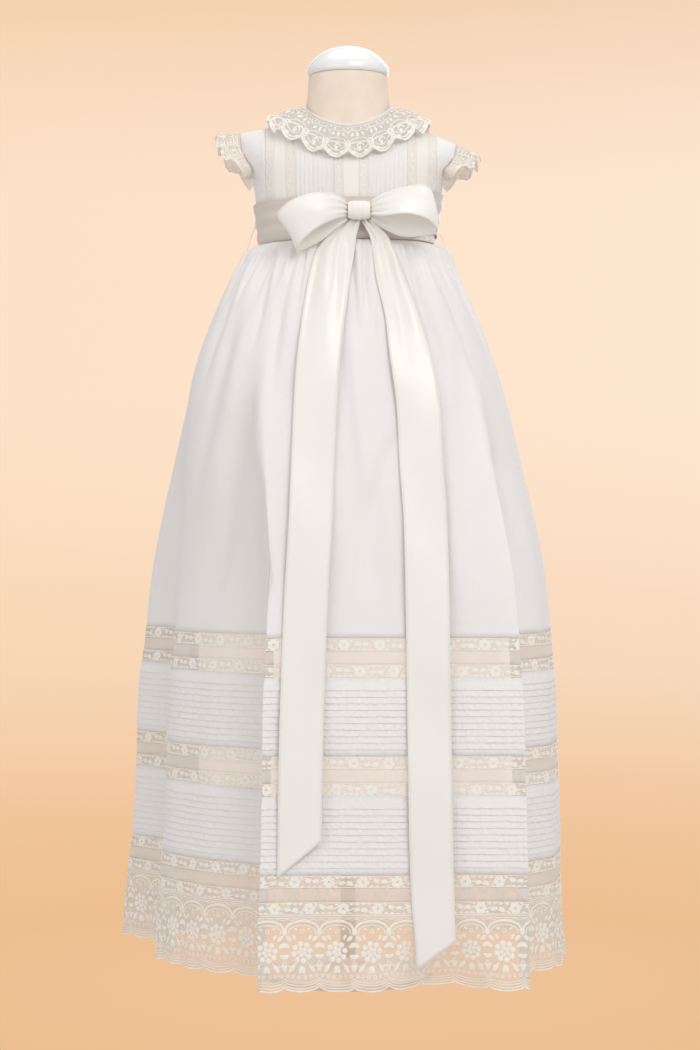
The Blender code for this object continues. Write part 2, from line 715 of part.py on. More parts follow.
def build_front_tucks(name, left, right):
    """A panel of narrow upright tucks, raised on its outer face over a plain inside."""
    low, high = left + SEAM_GAP / 2, right - SEAM_GAP / 2
    pitch = (high - low) / FRONT_TUCKS
    outer = [(low, 0.0)]
    for i in range(FRONT_TUCKS):
        outer.append((low + (i + 0.75) * pitch, FRONT_TUCK_RISE))
        outer.append((low + (i + 1.0) * pitch, 0.0))
    section = outer + [(x, -BODICE_CLOTH) for x in between(low, high, 7)[::-1]]
    columns = [rows_up(neck_up(x, "front"), 5, 3) for x, _ in section]
    rows = []
    for i, places in enumerate(zip(*columns)):
        raised = 1.0 if i else 0.0
        row = []
        for (x, out), up in zip(section, places):
            row.append(body_point(drawn_in(x, up), up, "front", out * raised if out > 0 else out))
        rows.append(row)
    loft(name, rows, "batiste", wall=False)


def side_columns(fixed, sign, face, count):
    """Columns of a side panel: its inner ones at fixed x, then count more out to the armhole and seam."""
    columns = [[(drawn_in(x, up), up) for up in rows_up(neck_up(x, face), 5, 3)] for x in fixed]
    for i in range(1, count + 1):
        share = math.sin(math.pi / 2 * i / count)
        column = []
        for up in rows_up(2.0, 5, 3):
            start = drawn_in(fixed[-1], up)
            if up > 1.0:
                edge = sign * read_table(ARMHOLE, up, "x", "up")
            else:
                edge = sign * bodice_size(up, "side")
            column.append((start + (edge - start) * share, up))
        columns.append(column)
    return columns


def build_bodice_front():
    half = CENTRE_TULLE / 2
    edges = {"centre_tulle": (-half, half)}
    steps = (
        ("centre_insertion", FRONT_INSERTION),
        ("tucks", FRONT_TUCKED),
        ("inner_insertion", SIDE_INSERTION),
        ("tulle", SIDE_TULLE),
        ("outer_insertion", SIDE_INSERTION),
    )
    for side, sign in (("left", -1), ("right", 1)):
        place = half
        for step, width in steps:
            edges[f"{step}_{side}"] = tuple(sorted((sign * place, sign * (place + width))))
            place += width
    for name, (low, high) in edges.items():
        left, right = GOWN_MIDDLE + low, GOWN_MIDDLE + high
        if name.startswith("tucks"):
            build_front_tucks("bodice_" + name, left, right)
        else:
            build_strip("bodice_" + name, left, right, "tulle" if "tulle" in name else "lace")
    outer = half + sum(width for _, width in steps) + SEAM_GAP / 2
    for side, sign in (("left", -1), ("right", 1)):
        columns = side_columns([GOWN_MIDDLE + sign * outer], sign, "front", 3)
        bodice_wall(f"bodice_side_{side}", columns, "front", "batiste")


def lap_lift(x):
    """The right back laps over the left one at the middle."""
    return LAP_LIFT * (1.0 - smooth_step((x - LAP) / LAP))


def build_bodice_back():
    """Two halves that lap at the middle back, with small buttons."""
    fixed = (LAP, 0.0, -LAP, -2 * LAP, -0.030, -NECK_SIDE)
    bodice_wall("bodice_back_left", side_columns(fixed, -1, "back", 4), "back", "batiste")
    fixed = [-x for x in fixed]
    bodice_wall("bodice_back_right", side_columns(fixed, 1, "back", 4), "back", "batiste", lap_lift)
    for i, up in enumerate(BUTTONS_UP):
        seat = body_point(0.0, up, "back", LAP_LIFT + 2 * SEAM_GAP)
        normal = (body_point(0.0, up, "back", 0.01) - body_point(0.0, up, "back")).normalized()
        rows = []
        for out in (0.0, BUTTON_THICK):
            facing = normal.to_track_quat("Z", "Y").to_matrix()
            row = []
            for k in range(12):
                turn = 2 * math.pi * k / 12
                across = Vector((math.cos(turn), math.sin(turn), 0.0)) * BUTTON_RADIUS
                row.append(seat + facing @ across + normal * out)
            rows.append(row)
        loft(f"button_{i + 1}", rows, "pearl", wall=False)


def build_binding():
    """The narrow binding that stands up along the neckline, open at the middle back."""
    rows = []
    for angle in between(-180 + BACK_SLIT, 180 - BACK_SLIT, 33):
        turn = math.radians(angle)
        foot = neck_point(turn)
        depth = NECK_FRONT if math.cos(turn) > 0 else NECK_BACK
        row = []
        for inward, up in ((0.0, 0), (0.0012, 1), (0.0012 + BINDING_THICK, 1), (BINDING_THICK, 0)):
            x = (NECK_SIDE - inward) * math.sin(turn)
            y = -(depth - inward) * math.cos(turn)
            row.append(Vector((x, y, foot.z + SEAM_GAP + BINDING_HEIGHT * up)))
        rows.append(row)
    loft("neck_binding", rows, "batiste")


def collar_point(angle, share, out):
    """A point of the collar, from the neckline (0) to its scalloped edge (1)."""
    turn = math.radians(angle)
    face = "front" if math.cos(turn) > 0 else "back"
    start = NECK_SIDE * math.sin(turn)
    drop = COLLAR_FRONT_DROP if face == "front" else COLLAR_BACK_DROP
    edge_up = 2.0 - drop * abs(math.cos(turn)) ** 0.62
    scallop = abs(math.sin(math.radians(angle) * COLLAR_SCALLOPS / 2))
    reach = share * (0.94 + 0.06 * scallop)
    x = start + (COLLAR_SIDE * math.sin(turn) - start) * reach
    up = neck_up(start, face)
    up += (edge_up - up) * reach
    wave = COLLAR_WAVE * (1.0 + math.cos(math.radians(angle) * COLLAR_SCALLOPS)) * share
    shoulder = 0.004 * share * math.sin(turn) ** 4
    return body_point(x, up, face, COLLAR_LIFT + wave + shoulder + out)


def build_collar():
    rows = []
    for angle in between(-180 + BACK_SLIT, 180 - BACK_SLIT, 3 * COLLAR_SCALLOPS + 1):
        outer = [collar_point(angle, share, 0.0) for share in (0.0, 0.5, 1.0)]
        inner = [collar_point(angle, share, -BODICE_CLOTH) for share in (1.0, 0.5, 0.0)]
        rows.append(outer + inner)
    loft("lace_collar", rows, "lace")


def sleeve_point(side, travel, share):
    """A point of a sleeve ruffle. travel runs from the front underarm (0) over to the back (1)."""
    sign = -1 if side == "left" else 1
    face = "front" if travel < 0.5 else "back"
    rise = 1.0 - abs(2 * travel - 1)
    forward = (-1.0 if face == "front" else 1.0) * min(1.0, 5 * (1.0 - rise))
    edge = body_point(sign * read_table(ARMHOLE, 1.0 + rise, "x", "up"), 1.0 + rise, face)
    edge.x += sign * 0.0006
    scallop = abs(math.sin(math.pi * travel * SLEEVE_SCALLOPS))
    reach = share * (0.90 + 0.10 * scallop)
    out = read_table(SLEEVE_RUFFLE, rise, "out", "rise")
    ahead = read_table(SLEEVE_RUFFLE, rise, "forward", "rise")
    up = read_table(SLEEVE_RUFFLE, rise, "up", "rise") + SLEEVE_LIFT[side] * smooth_step(rise)
    wave = math.cos(2 * math.pi * travel * SLEEVE_SCALLOPS) * SLEEVE_WAVE * share
    lift = Vector((0.0, forward * 0.5, 0.85)) * wave
    return edge + Vector((sign * out, forward * ahead, up)) * reach + lift


def build_sleeves():
    for side in ("left", "right"):
        travels = between(0.02, 0.98, 3 * SLEEVE_SCALLOPS + 1)
        shares = (0.0, 0.5, 1.0) if side == "left" else (1.0, 0.5, 0.0)
        grid = [[sleeve_point(side, travel, share) for share in shares] for travel in travels]
        cloth_wall(f"sleeve_ruffle_{side}", grid, BODICE_CLOTH, "lace")


# Ribbon


def sash_point(angle, share, out):
    """A point on the sash, from its lower edge (0) to its upper one (1)."""
    turn = math.radians(angle)
    tilt = SASH_RISE_RIGHT * smooth_step((math.sin(turn) - 0.55) / 0.45)
    height = SASH_BOTTOM + RIBBON_WIDTH * share + tilt
    up = (height - WAIST) / (UNDERARM - WAIST)
    side = bodice_size(up, "side") + out
    face = "front" if math.cos(turn) > 0 else "back"
    depth = bodice_size(up, face) + out
    if face == "back":
        depth += LAP_LIFT * max(0.0, -math.cos(turn)) ** 8
    return Vector((side * squared(math.sin(turn)), -depth * squared(math.cos(turn)), height))


def build_sash():
    angles = [FIRST_ANGLE + 360.0 * i / AROUND for i in range(AROUND)]
    outer = [[sash_point(a, share, SASH_CLEAR + RIBBON) for a in angles] for share in (1.0, 0.5, 0.0)]
    inner = [[sash_point(a, share, SASH_CLEAR) for a in angles] for share in (0.0, 1.0)]
    loft("sash", outer + inner, "satin", around=True)


def front_depth(x, height):
    """Depth of the coarse skirt's front under a ribbon, read along the same straight edges."""
    ring = [skirt_point(FIRST_ANGLE + 360.0 * i / AROUND, height) for i in range(-9, 10)]
    for one, two in zip(ring, ring[1:]):
        if one.x <= x <= two.x:
            share = (x - one.x) / (two.x - one.x)
            return -(one.y + (two.y - one.y) * share)
    return 0.0


def tail_grid(rows, slant):
    """A ribbon tail from the knot down the skirt's front, cut on a slant at its end."""
    heights = [row.height for row in rows]
    fine = []
    for high, low in zip(heights, heights[1:]):
        count = max(1, round((high - low) / 0.040))
        fine += [high + (low - high) * i / count for i in range(count)]
    fine.append(heights[-1])
    grid = []
    for height in fine:
        line = []
        for across in (1.0, 0.34, -0.34, -1.0):
            width = read_table(rows, height, "width", "height")
            x = read_table(rows, height, "middle", "height") + across * width / 2
            ending = smooth_step((fine[4] - height) / (fine[4] - fine[-1])) if height == fine[-1] else 0.0
            low = height + slant / 2 * across * ending
            under = max(low, HEM_LACE_TOP)
            depth = max(front_depth(x, under), front_depth(x, under + 0.002)) if low < WAIST else 0.0
            depth = max(depth + TAIL_CLEAR + TUCK_RISE + RIBBON, 0.0868)
            if low > GATHER_END:
                depth = max(depth, front_depth(x, min(low, 0.7275)) + GATHER_DEPTH + RIBBON)
            line.append(Vector((x, -depth, low)))
        grid.append(line[::-1])
    return grid


def build_tails():
    cloth_wall("ribbon_tail_left", tail_grid(LEFT_TAIL, LEFT_TAIL_SLANT), RIBBON, "satin")
    cloth_wall("ribbon_tail_right", tail_grid(RIGHT_TAIL, RIGHT_TAIL_SLANT), RIBBON, "satin")


def build_loop(name, rows):
    """One loop of the bow: out from the knot, round its end and back, pleated at the knot."""
    grid = []
    widest = max(row.width for row in rows)
    for row in rows:
        down = Vector((row.edge_x, row.edge_y, 0.0))
        down.z = -math.sqrt(max(0.0, 1.0 - down.length_squared))
        pleat = LOOP_PLEAT * (1.0 - smooth_step((row.width - rows[0].width) / (0.7 * widest - rows[0].width)))
        line = []
        for j, across in enumerate(between(-0.5, 0.5, 7)):
            wave = pleat * (0.5 if j % 2 else -0.5)
            middle = Vector((row.x, row.y - wave, row.z))
            line.append(middle + down * (across * row.width))
        grid.append(line)
    cloth_wall(name, grid, RIBBON, "satin")


def build_knot():
    """The knot: layers of ribbon wrapped over the bow's middle, as one rounded solid."""
    rows = []
    for place in (-1.0, -0.72, -0.3, 0.3, 0.72, 1.0):
        swell = 1.0 - 0.16 * abs(place) ** 3
        row = []
        for i in range(14):
            turn = 2 * math.pi * i / 14
            y = KNOT_HALF.y * squared(math.sin(turn)) * swell
            z = KNOT_HALF.z * squared(math.cos(turn)) * swell
            row.append(KNOT_MIDDLE + Vector((KNOT_HALF.x * place, y, z)))
        rows.append(row)
    loft("bow_knot", rows, "satin", wall=False)


def build_ribbon():
    build_sash()
    build_tails()
    build_loop("bow_loop_left", LEFT_LOOP)
    build_loop("bow_loop_right", RIGHT_LOOP)
    build_knot()


# Dress form


def oval(height, side, front, back):
    row = []
    for i in range(FORM_AROUND):
        turn = 2 * math.pi * i / FORM_AROUND
        depth = front if math.cos(turn) > 0 else back
        row.append(Vector((side * math.sin(turn), -depth * math.cos(turn), height)))
    return row


def turned(name, profile, material):
    """A solid turned round the form's axis from (radius, height) points, outer side top to bottom."""
    mesh = bpy.data.meshes.new(name)
    points = [(radius, 0.0, height) for radius, height in profile]
    mesh.from_pydata(points, [(i, i + 1) for i in range(len(points) - 1)], [])
    obj = add(name, mesh, material)
    screw = obj.modifiers.new("turn", "SCREW")
    screw.steps = FORM_AROUND
    screw.render_steps = FORM_AROUND
    screw.use_merge_vertices = True
    screw.merge_threshold = 0.0001
    screw.use_smooth_shade = True
    return obj


def build_form():
    body = [oval(*row) for row in FORM]
    loft("form_body", body, "linen", wall=False)
    cap = [oval(row.height, row.half, row.half * 0.95, row.half * 0.95) for row in CAP]
    loft("form_cap", cap, "lacquer", wall=False)
    top = FORM[0].height - SEAM_GAP
    socket = ((0.0, top), (SOCKET_RADIUS, top), (SOCKET_RADIUS, top - SOCKET_HEIGHT), (0.0, top - SOCKET_HEIGHT))
    turned("form_socket", socket, "lacquer")
    hub_top = BASE_HEIGHT + HUB_HEIGHT
    pole_top, pole_low = top - SOCKET_HEIGHT - SEAM_GAP, hub_top + SEAM_GAP
    pole = ((0.0, pole_top), (POLE_RADIUS, pole_top), (POLE_RADIUS, pole_low), (0.0, pole_low))
    turned("form_pole", pole, "lacquer")
    base = (
        (0.0, hub_top),
        (HUB_RADIUS * 0.85, hub_top),
        (HUB_RADIUS, hub_top - 0.002),
        (HUB_RADIUS * 1.1, BASE_HEIGHT + 0.002),
        (HUB_RADIUS * 1.6, BASE_HEIGHT),
        (BASE_RADIUS - 0.003, BASE_HEIGHT - 0.001),
        (BASE_RADIUS, BASE_HEIGHT - 0.003),
        (BASE_RADIUS, 0.0),
        (0.0, 0.0),
    )
    turned("form_base", base, "lacquer")


def main():
    clear_scene()
    build_form()
    build_bodice_front()
    build_bodice_back()
    build_binding()
    build_collar()
    build_sleeves()
    build_skirt()
    build_ribbon()


main()
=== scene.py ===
"""Dresses the christening gown: cloth, lace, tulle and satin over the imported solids, and its studio.

Metres, +Z up, the gown's front towards -Y. Every cloth piece follows the same tables and formulas as
its solid, with finer folds, gathers, tucks and lace on top.
"""

import math
from collections import namedtuple

import bmesh
import bpy
import numpy as np
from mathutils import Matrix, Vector


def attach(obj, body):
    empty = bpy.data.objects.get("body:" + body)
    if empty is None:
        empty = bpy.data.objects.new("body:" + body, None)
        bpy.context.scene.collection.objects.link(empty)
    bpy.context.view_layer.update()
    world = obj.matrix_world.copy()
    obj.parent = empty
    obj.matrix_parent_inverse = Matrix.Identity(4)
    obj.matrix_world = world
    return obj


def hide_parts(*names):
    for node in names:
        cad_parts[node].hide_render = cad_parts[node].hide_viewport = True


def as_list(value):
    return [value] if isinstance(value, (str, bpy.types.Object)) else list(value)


bl_info = {
    "name": "Christening gown",
    "version": (1, 0, 0),
    "blender": (4, 5, 0),
    "location": "View3D > Sidebar > Gown",
    "description": "Builds the cloth, lace, ribbon and studio of a christening gown on a dress form",
    "category": "Add Mesh",
}

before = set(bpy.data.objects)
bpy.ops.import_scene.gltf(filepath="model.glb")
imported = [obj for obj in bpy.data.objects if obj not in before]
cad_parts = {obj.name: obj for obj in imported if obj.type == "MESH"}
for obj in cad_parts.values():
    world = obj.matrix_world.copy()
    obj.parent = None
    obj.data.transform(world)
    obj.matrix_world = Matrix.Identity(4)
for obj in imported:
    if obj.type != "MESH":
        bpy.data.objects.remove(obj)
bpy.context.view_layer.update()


def chart(columns, *rows):
    """A table of rows with named columns."""
    kind = namedtuple("Row", columns)
    return [kind(*row) for row in rows]


# The solids' own sizes
SEAM_GAP = 0.0003
SQUARENESS = 2.3
WAIST = 0.728
UNDERARM = 0.790
INSERTION = 0.0120
TULLE = 0.0125
BAND = 2 * INSERTION + TULLE
TUCKED = 0.0735
UPPER_BAND_TOP = 0.3440
MIDDLE_BAND_TOP = UPPER_BAND_TOP - BAND - TUCKED
LOWER_BAND_TOP = MIDDLE_BAND_TOP - BAND - TUCKED
HEM_LACE_TOP = LOWER_BAND_TOP - BAND
HEM = 0.0165
HEM_MIDDLE = 0.045
TUCKS_PER_PANEL = 10

# The skirt's outline at each height, from the form's axis
SKIRT = chart(
    "height left right front back",
    (0.728, 0.0850, 0.0855, 0.0735, 0.0695),
    (0.716, 0.0985, 0.0950, 0.0850, 0.0810),
    (0.695, 0.1130, 0.1060, 0.0960, 0.0910),
    (0.655, 0.1330, 0.1260, 0.1100, 0.1050),
    (0.575, 0.1630, 0.1570, 0.1290, 0.1250),
    (0.515, 0.1760, 0.1720, 0.1400, 0.1370),
    (0.455, 0.1860, 0.1870, 0.1480, 0.1460),
    (0.395, 0.1940, 0.1980, 0.1540, 0.1530),
    (0.335, 0.2000, 0.2040, 0.1590, 0.1590),
    (0.275, 0.2070, 0.2080, 0.1620, 0.1630),
    (0.155, 0.2110, 0.2120, 0.1660, 0.1680),
    (0.055, 0.2200, 0.2140, 0.1700, 0.1730),
    (0.005, 0.2200, 0.2180, 0.1720, 0.1760),
)

# The hem seen from above. place is the angle from the front that the same thread has at the waist.
HEM_PLAN = chart(
    "place x y",
    (-187.0, 0.028, 0.176),
    (-178.0, -0.004, 0.168),
    (-160.0, -0.066, 0.182),
    (-151.0, -0.100, 0.178),
    (-133.0, -0.160, 0.158),
    (-124.0, -0.192, 0.172),
    (-106.0, -0.235, 0.140),
    (-88.0, -0.190, 0.082),
    (-79.0, -0.177, 0.046),
    (-70.0, -0.192, 0.012),
    (-52.0, -0.148, -0.056),
    (-34.0, -0.077, -0.116),
    (-25.0, -0.084, -0.171),
    (-7.0, -0.026, -0.166),
    (11.0, 0.038, -0.167),
    (29.0, 0.104, -0.161),
    (47.0, 0.172, -0.163),
    (56.0, 0.165, -0.106),
    (74.0, 0.208, -0.040),
    (92.0, 0.220, 0.036),
    (110.0, 0.196, 0.104),
    (128.0, 0.184, 0.164),
    (146.0, 0.126, 0.158),
    (164.0, 0.062, 0.182),
    (182.0, -0.004, 0.168),
)
FOLDS_START = 0.640
FULL_FOLDS = 0.370

# Pleats that the waist seam draws: how many there are, how deep, and where they rise and fade
GATHERS = chart(
    "count depth starts ends over stray phase",
    (96, 0.0020, 0.004, 0.676, 0.034, 1.5, 0.0),
    (46, 0.0030, 0.010, 0.650, 0.055, 2.0, 0.8),
    (22, 0.0038, 0.010, 0.560, 0.110, 1.6, 2.0),
)
GATHERED_LOW = 0.664

# Soft ridges (out > 0) and troughs (out < 0), from a high point to a low one, on the front or the back
CREASES = chart(
    "face x_high high x_low low width out",
    ("front", -0.091, 0.690, -0.118, 0.545, 0.008, 0.0030),
    ("front", -0.110, 0.650, -0.150, 0.480, 0.007, -0.0026),
    ("front", -0.100, 0.560, -0.133, 0.372, 0.011, -0.0058),
    ("front", -0.074, 0.600, -0.095, 0.430, 0.010, 0.0042),
    ("front", -0.088, 0.470, -0.068, 0.372, 0.006, -0.0026),
    ("front", -0.062, 0.690, -0.074, 0.560, 0.005, -0.0022),
    ("front", 0.002, 0.640, 0.020, 0.480, 0.008, 0.0030),
    ("front", 0.044, 0.540, 0.024, 0.465, 0.007, -0.0026),
    ("front", 0.022, 0.480, 0.022, 0.385, 0.014, -0.0034),
    ("front", 0.066, 0.700, 0.094, 0.590, 0.005, -0.0026),
    ("front", 0.088, 0.620, 0.106, 0.370, 0.012, 0.0034),
    ("front", 0.120, 0.600, 0.138, 0.470, 0.008, 0.0026),
    ("front", 0.141, 0.520, 0.170, 0.440, 0.008, -0.0036),
    ("front", 0.0065, 0.7275, 0.0060, 0.668, 0.0019, -0.0040),
    ("front", 0.0100, 0.7275, 0.0125, 0.640, 0.0020, 0.0022),
    ("front", 0.0135, 0.7275, 0.0190, 0.655, 0.0019, -0.0044),
    ("front", 0.0175, 0.7200, 0.0260, 0.630, 0.0024, 0.0016),
    ("front", 0.0260, 0.7260, 0.0360, 0.672, 0.0028, -0.0026),
    ("front", -0.040, 0.722, -0.052, 0.640, 0.0032, -0.0024),
    ("front", -0.052, 0.720, -0.066, 0.650, 0.0028, 0.0018),
    ("front", 0.060, 0.722, 0.076, 0.640, 0.0032, -0.0024),
    ("front", -0.070, 0.718, -0.090, 0.620, 0.0034, -0.0022),
    ("back", -0.120, 0.640, -0.160, 0.470, 0.010, -0.0030),
    ("back", -0.050, 0.660, -0.072, 0.420, 0.012, 0.0040),
    ("back", -0.016, 0.600, -0.010, 0.400, 0.010, -0.0040),
    ("back", 0.034, 0.660, 0.046, 0.450, 0.011, 0.0036),
    ("back", 0.082, 0.640, 0.108, 0.430, 0.009, -0.0034),
    ("back", 0.128, 0.600, 0.156, 0.420, 0.010, 0.0034),
)

# The slip: its waist edge lies on the form, and it hangs clear of the skirt
SLIP_TOP = 0.722
SLIP_HIPS = 0.668
SLIP_FREE = 0.570
SLIP_HUNG = 0.380
SLIP_HEM = 0.128
SLIP_ROOM = 0.0065
SLIP_LYING = 0.0018
SLIP_PLAN = chart(
    "place x y",
    (-190.0, 0.030, 0.140),
    (-170.0, -0.030, 0.143),
    (-150.0, -0.092, 0.145),
    (-122.0, -0.134, 0.114),
    (-96.0, -0.150, 0.060),
    (-74.0, -0.147, 0.006),
    (-54.0, -0.118, -0.046),
    (-34.0, -0.064, -0.090),
    (-10.0, -0.012, -0.116),
    (20.0, 0.064, -0.122),
    (42.0, 0.132, -0.116),
    (58.0, 0.152, -0.084),
    (76.0, 0.160, -0.036),
    (96.0, 0.163, 0.040),
    (122.0, 0.155, 0.114),
    (146.0, 0.100, 0.139),
    (170.0, 0.030, 0.140),
    (190.0, -0.030, 0.143),
)

# The bodice's outline. up is 0 at the waist, 1 at the underarm and 2 on the shoulder seam.
BODICE = chart(
    "up side front back",
    (0.00, 0.0865, 0.0745, 0.0700),
    (0.36, 0.0885, 0.0765, 0.0715),
    (0.76, 0.0925, 0.0770, 0.0720),
    (1.00, 0.0950, 0.0770, 0.0720),
    (1.12, 0.0990, 0.0770, 0.0720),
    (1.25, 0.1045, 0.0770, 0.0720),
    (1.36, 0.1080, 0.0770, 0.0720),
    (1.55, 0.1095, 0.0770, 0.0720),
    (2.00, 0.1100, 0.0770, 0.0720),
)
SHOULDER = chart(
    "x front back",
    (-0.1080, 0.841, 0.841),
    (-0.0765, 0.847, 0.847),
    (-0.0490, 0.862, 0.862),
    (-0.0320, 0.856, 0.867),
    (0.0000, 0.851, 0.880),
    (0.0320, 0.856, 0.867),
    (0.0490, 0.862, 0.862),
    (0.0785, 0.842, 0.842),
    (0.1080, 0.830, 0.830),
)
ARMHOLE = chart(
    "up x",
    (1.00, 0.0950),
    (1.12, 0.0932),
    (1.26, 0.0996),
    (1.48, 0.1056),
    (2.00, 0.1080),
)
NECK_SIDE = 0.0490
NECK_FRONT = 0.0470
NECK_BACK = 0.0450
GOWN_MIDDLE = 0.003
CENTRE_TULLE = 0.0158
BODICE_INSERTION = 0.0086
BRAID_REPEAT = 0.012
FRONT_STEPS = (
    ("centre_insertion", BODICE_INSERTION),
    ("tucks", 0.0386),
    ("inner_insertion", BODICE_INSERTION),
    ("tulle", 0.0118),
    ("outer_insertion", BODICE_INSERTION),
)
FRONT_TUCKS = 9
SIDES = (("left", -1), ("right", 1))
BODICE_LOW = 0.01
OVER_SHOULDER = 0.03
SIDE_AREA = {"left": 0.0050, "right": 0.0037}
BACK_AREA = 0.0186
COLLAR_CUT = (0.62, 0.030)
COLLAR_PITCH = 0.0210
COLLAR_REACH = 0.066
SLEEVE_CUT = (0.19, 0.026)
SLEEVE_PITCH = 0.0235
SLEEVE_ENDS = 0.02
LEAST_WIDTH = 0.010
LAP = 0.006
LAP_LIFT = 0.0014
BACK_SLIT = 1.2

COLLAR_SIDE = 0.0785
COLLAR_FRONT_DROP = 0.86
COLLAR_BACK_DROP = 0.72
COLLAR_LIFT = 0.0032
COLLAR_SCALLOPS = 20
COLLAR_WAVE = 0.0026
SLEEVE_RUFFLE = chart(
    "rise out forward up",
    (0.00, 0.004, 0.016, -0.005),
    (0.25, 0.013, 0.017, -0.006),
    (0.50, 0.022, 0.013, -0.006),
    (0.75, 0.025, 0.008, -0.003),
    (1.00, 0.024, 0.000, 0.000),
)
SLEEVE_LIFT = {"left": -0.002, "right": -0.014}
SLEEVE_SCALLOPS = 8
SLEEVE_WAVE = 0.0026

RIBBON_WIDTH = 0.040
SASH_BOTTOM = 0.7272
SASH_CLEAR = 0.0025
SASH_RISE_RIGHT = 0.010
SASH_OVER = 0.0010
SASH_REACH = 0.085
TAIL_CLEAR = 0.0030
TAIL_NEAREST = 0.0868
LEFT_TAIL = chart(
    "height middle width",
    (0.7438, 0.0045, 0.016),
    (0.7260, -0.0070, 0.030),
    (0.7090, -0.0134, 0.038),
    (0.6490, -0.0232, 0.041),
    (0.5850, -0.0297, 0.041),
    (0.5200, -0.0325, 0.041),
    (0.4550, -0.0349, 0.041),
    (0.3800, -0.0392, 0.041),
    (0.3200, -0.0414, 0.041),
    (0.2345, -0.0437, 0.041),
    (0.1390, -0.0452, 0.041),
)
RIGHT_TAIL = chart(
    "height middle width",
    (0.7438, 0.0185, 0.011),
    (0.7260, 0.0310, 0.018),
    (0.6870, 0.0412, 0.028),
    (0.6490, 0.0524, 0.034),
    (0.6090, 0.0598, 0.040),
    (0.5570, 0.0667, 0.041),
    (0.5040, 0.0691, 0.041),
    (0.4550, 0.0727, 0.041),
    (0.3800, 0.0743, 0.041),
    (0.3080, 0.0752, 0.041),
    (0.2345, 0.0763, 0.041),
    (0.1620, 0.0772, 0.041),
    (0.1020, 0.0790, 0.040),
    (0.0500, 0.0826, 0.036),
)
TAIL_SLANT = {"left": 0.034, "right": 0.026}
LEFT_LOOP = chart(
    "x y z width edge_x edge_y",
    (-0.0004, -0.0935, 0.7545, 0.014, 0.00, 0.00),
    (-0.0120, -0.1020, 0.7550, 0.025, 0.00, -0.10),
    (-0.0300, -0.1095, 0.7505, 0.034, 0.10, -0.12),
    (-0.0470, -0.1105, 0.7420, 0.038, 0.32, -0.05),
    (-0.0560, -0.1060, 0.7335, 0.039, 0.46, 0.00),
    (-0.0580, -0.1000, 0.7293, 0.039, 0.50, 0.05),
    (-0.0545, -0.0950, 0.7300, 0.039, 0.44, 0.05),
    (-0.0440, -0.0925, 0.7345, 0.038, 0.30, 0.00),
    (-0.0270, -0.0905, 0.7405, 0.034, 0.12, 0.00),
    (-0.0110, -0.0900, 0.7470, 0.024, 0.00, 0.00),
    (-0.0004, -0.0900, 0.7500, 0.014, 0.00, 0.00),
)
RIGHT_LOOP = chart(
    "x y z width edge_x edge_y",
    (0.0224, -0.0935, 0.7545, 0.014, 0.00, 0.00),
    (0.0350, -0.1010, 0.7565, 0.024, 0.00, -0.30),
    (0.0530, -0.1065, 0.7590, 0.033, 0.02, -0.55),
    (0.0700, -0.1065, 0.7590, 0.037, 0.08, -0.40),
    (0.0800, -0.1020, 0.7550, 0.038, 0.12, -0.15),
    (0.0838, -0.0965, 0.7515, 0.039, 0.13, 0.00),
    (0.0800, -0.0915, 0.7485, 0.039, 0.12, 0.00),
    (0.0700, -0.0890, 0.7460, 0.037, 0.08, 0.00),
    (0.0520, -0.0880, 0.7440, 0.033, 0.02, 0.00),
    (0.0350, -0.0890, 0.7465, 0.024, 0.00, 0.00),
    (0.0221, -0.0900, 0.7500, 0.014, 0.00, 0.00),
)
KNOT_MIDDLE = (0.0107, -0.0902, 0.7525)
KNOT_HALF = (0.0108, 0.0098, 0.0090)

FORM = chart(
    "height side front back",
    (0.6000, 0.0560, 0.0480, 0.0460),
    (0.6040, 0.0660, 0.0570, 0.0540),
    (0.6140, 0.0740, 0.0640, 0.0600),
    (0.6500, 0.0800, 0.0690, 0.0650),
    (0.7280, 0.0800, 0.0690, 0.0655),
    (0.7600, 0.0850, 0.0725, 0.0675),
    (0.7900, 0.0905, 0.0725, 0.0675),
    (0.8150, 0.0905, 0.0640, 0.0625),
    (0.8280, 0.0870, 0.0545, 0.0580),
    (0.8380, 0.0760, 0.0430, 0.0520),
    (0.8460, 0.0580, 0.0410, 0.0460),
    (0.8540, 0.0455, 0.0402, 0.0405),
    (0.8630, 0.0430, 0.0395, 0.0395),
    (0.8800, 0.0405, 0.0380, 0.0380),
    (0.8960, 0.0393, 0.0370, 0.0370),
    (0.8985, 0.0380, 0.0360, 0.0360),
)
FORM_FOOT = 0.6200
FORM_CHEST = 0.8200
CAP = chart(
    "height half",
    (0.8988, 0.0390),
    (0.9010, 0.0406),
    (0.9060, 0.0402),
    (0.9120, 0.0365),
    (0.9190, 0.0290),
    (0.9245, 0.0190),
    (0.9275, 0.0080),
)
STAND_TOP = FORM[0].height - SEAM_GAP
STAND = {
    "form_socket": (
        (0.0165, STAND_TOP),
        (0.0180, STAND_TOP - 0.0010),
        (0.0180, STAND_TOP - 0.0130),
        (0.0165, STAND_TOP - 0.0140),
    ),
    "form_pole": ((0.0075, STAND_TOP - 0.0143), (0.0075, 0.0193)),
    "form_base": (
        (0.0135, 0.0190),
        (0.0150, 0.0187),
        (0.0168, 0.0172),
        (0.0187, 0.0090),
        (0.0215, 0.0076),
        (0.0272, 0.0070),
        (0.0800, 0.0060),
        (0.0825, 0.0056),
        (0.0838, 0.0045),
        (0.0840, 0.0030),
        (0.0840, 0.0004),
        (0.0836, 0.0000),
    ),
}
BUTTONS_UP = (0.90, 1.12, 1.32)
BUTTON = chart(
    "radius out",
    (0.0040, 0.0),
    (0.0045, 0.0005),
    (0.0045, 0.0011),
    (0.0040, 0.0017),
    (0.0034, 0.0018),
    (0.0028, 0.0013),
)

# Points round the skirt, round the hem and round turned parts
AROUND = 480
HEM_AROUND = 660
ROUND = 96

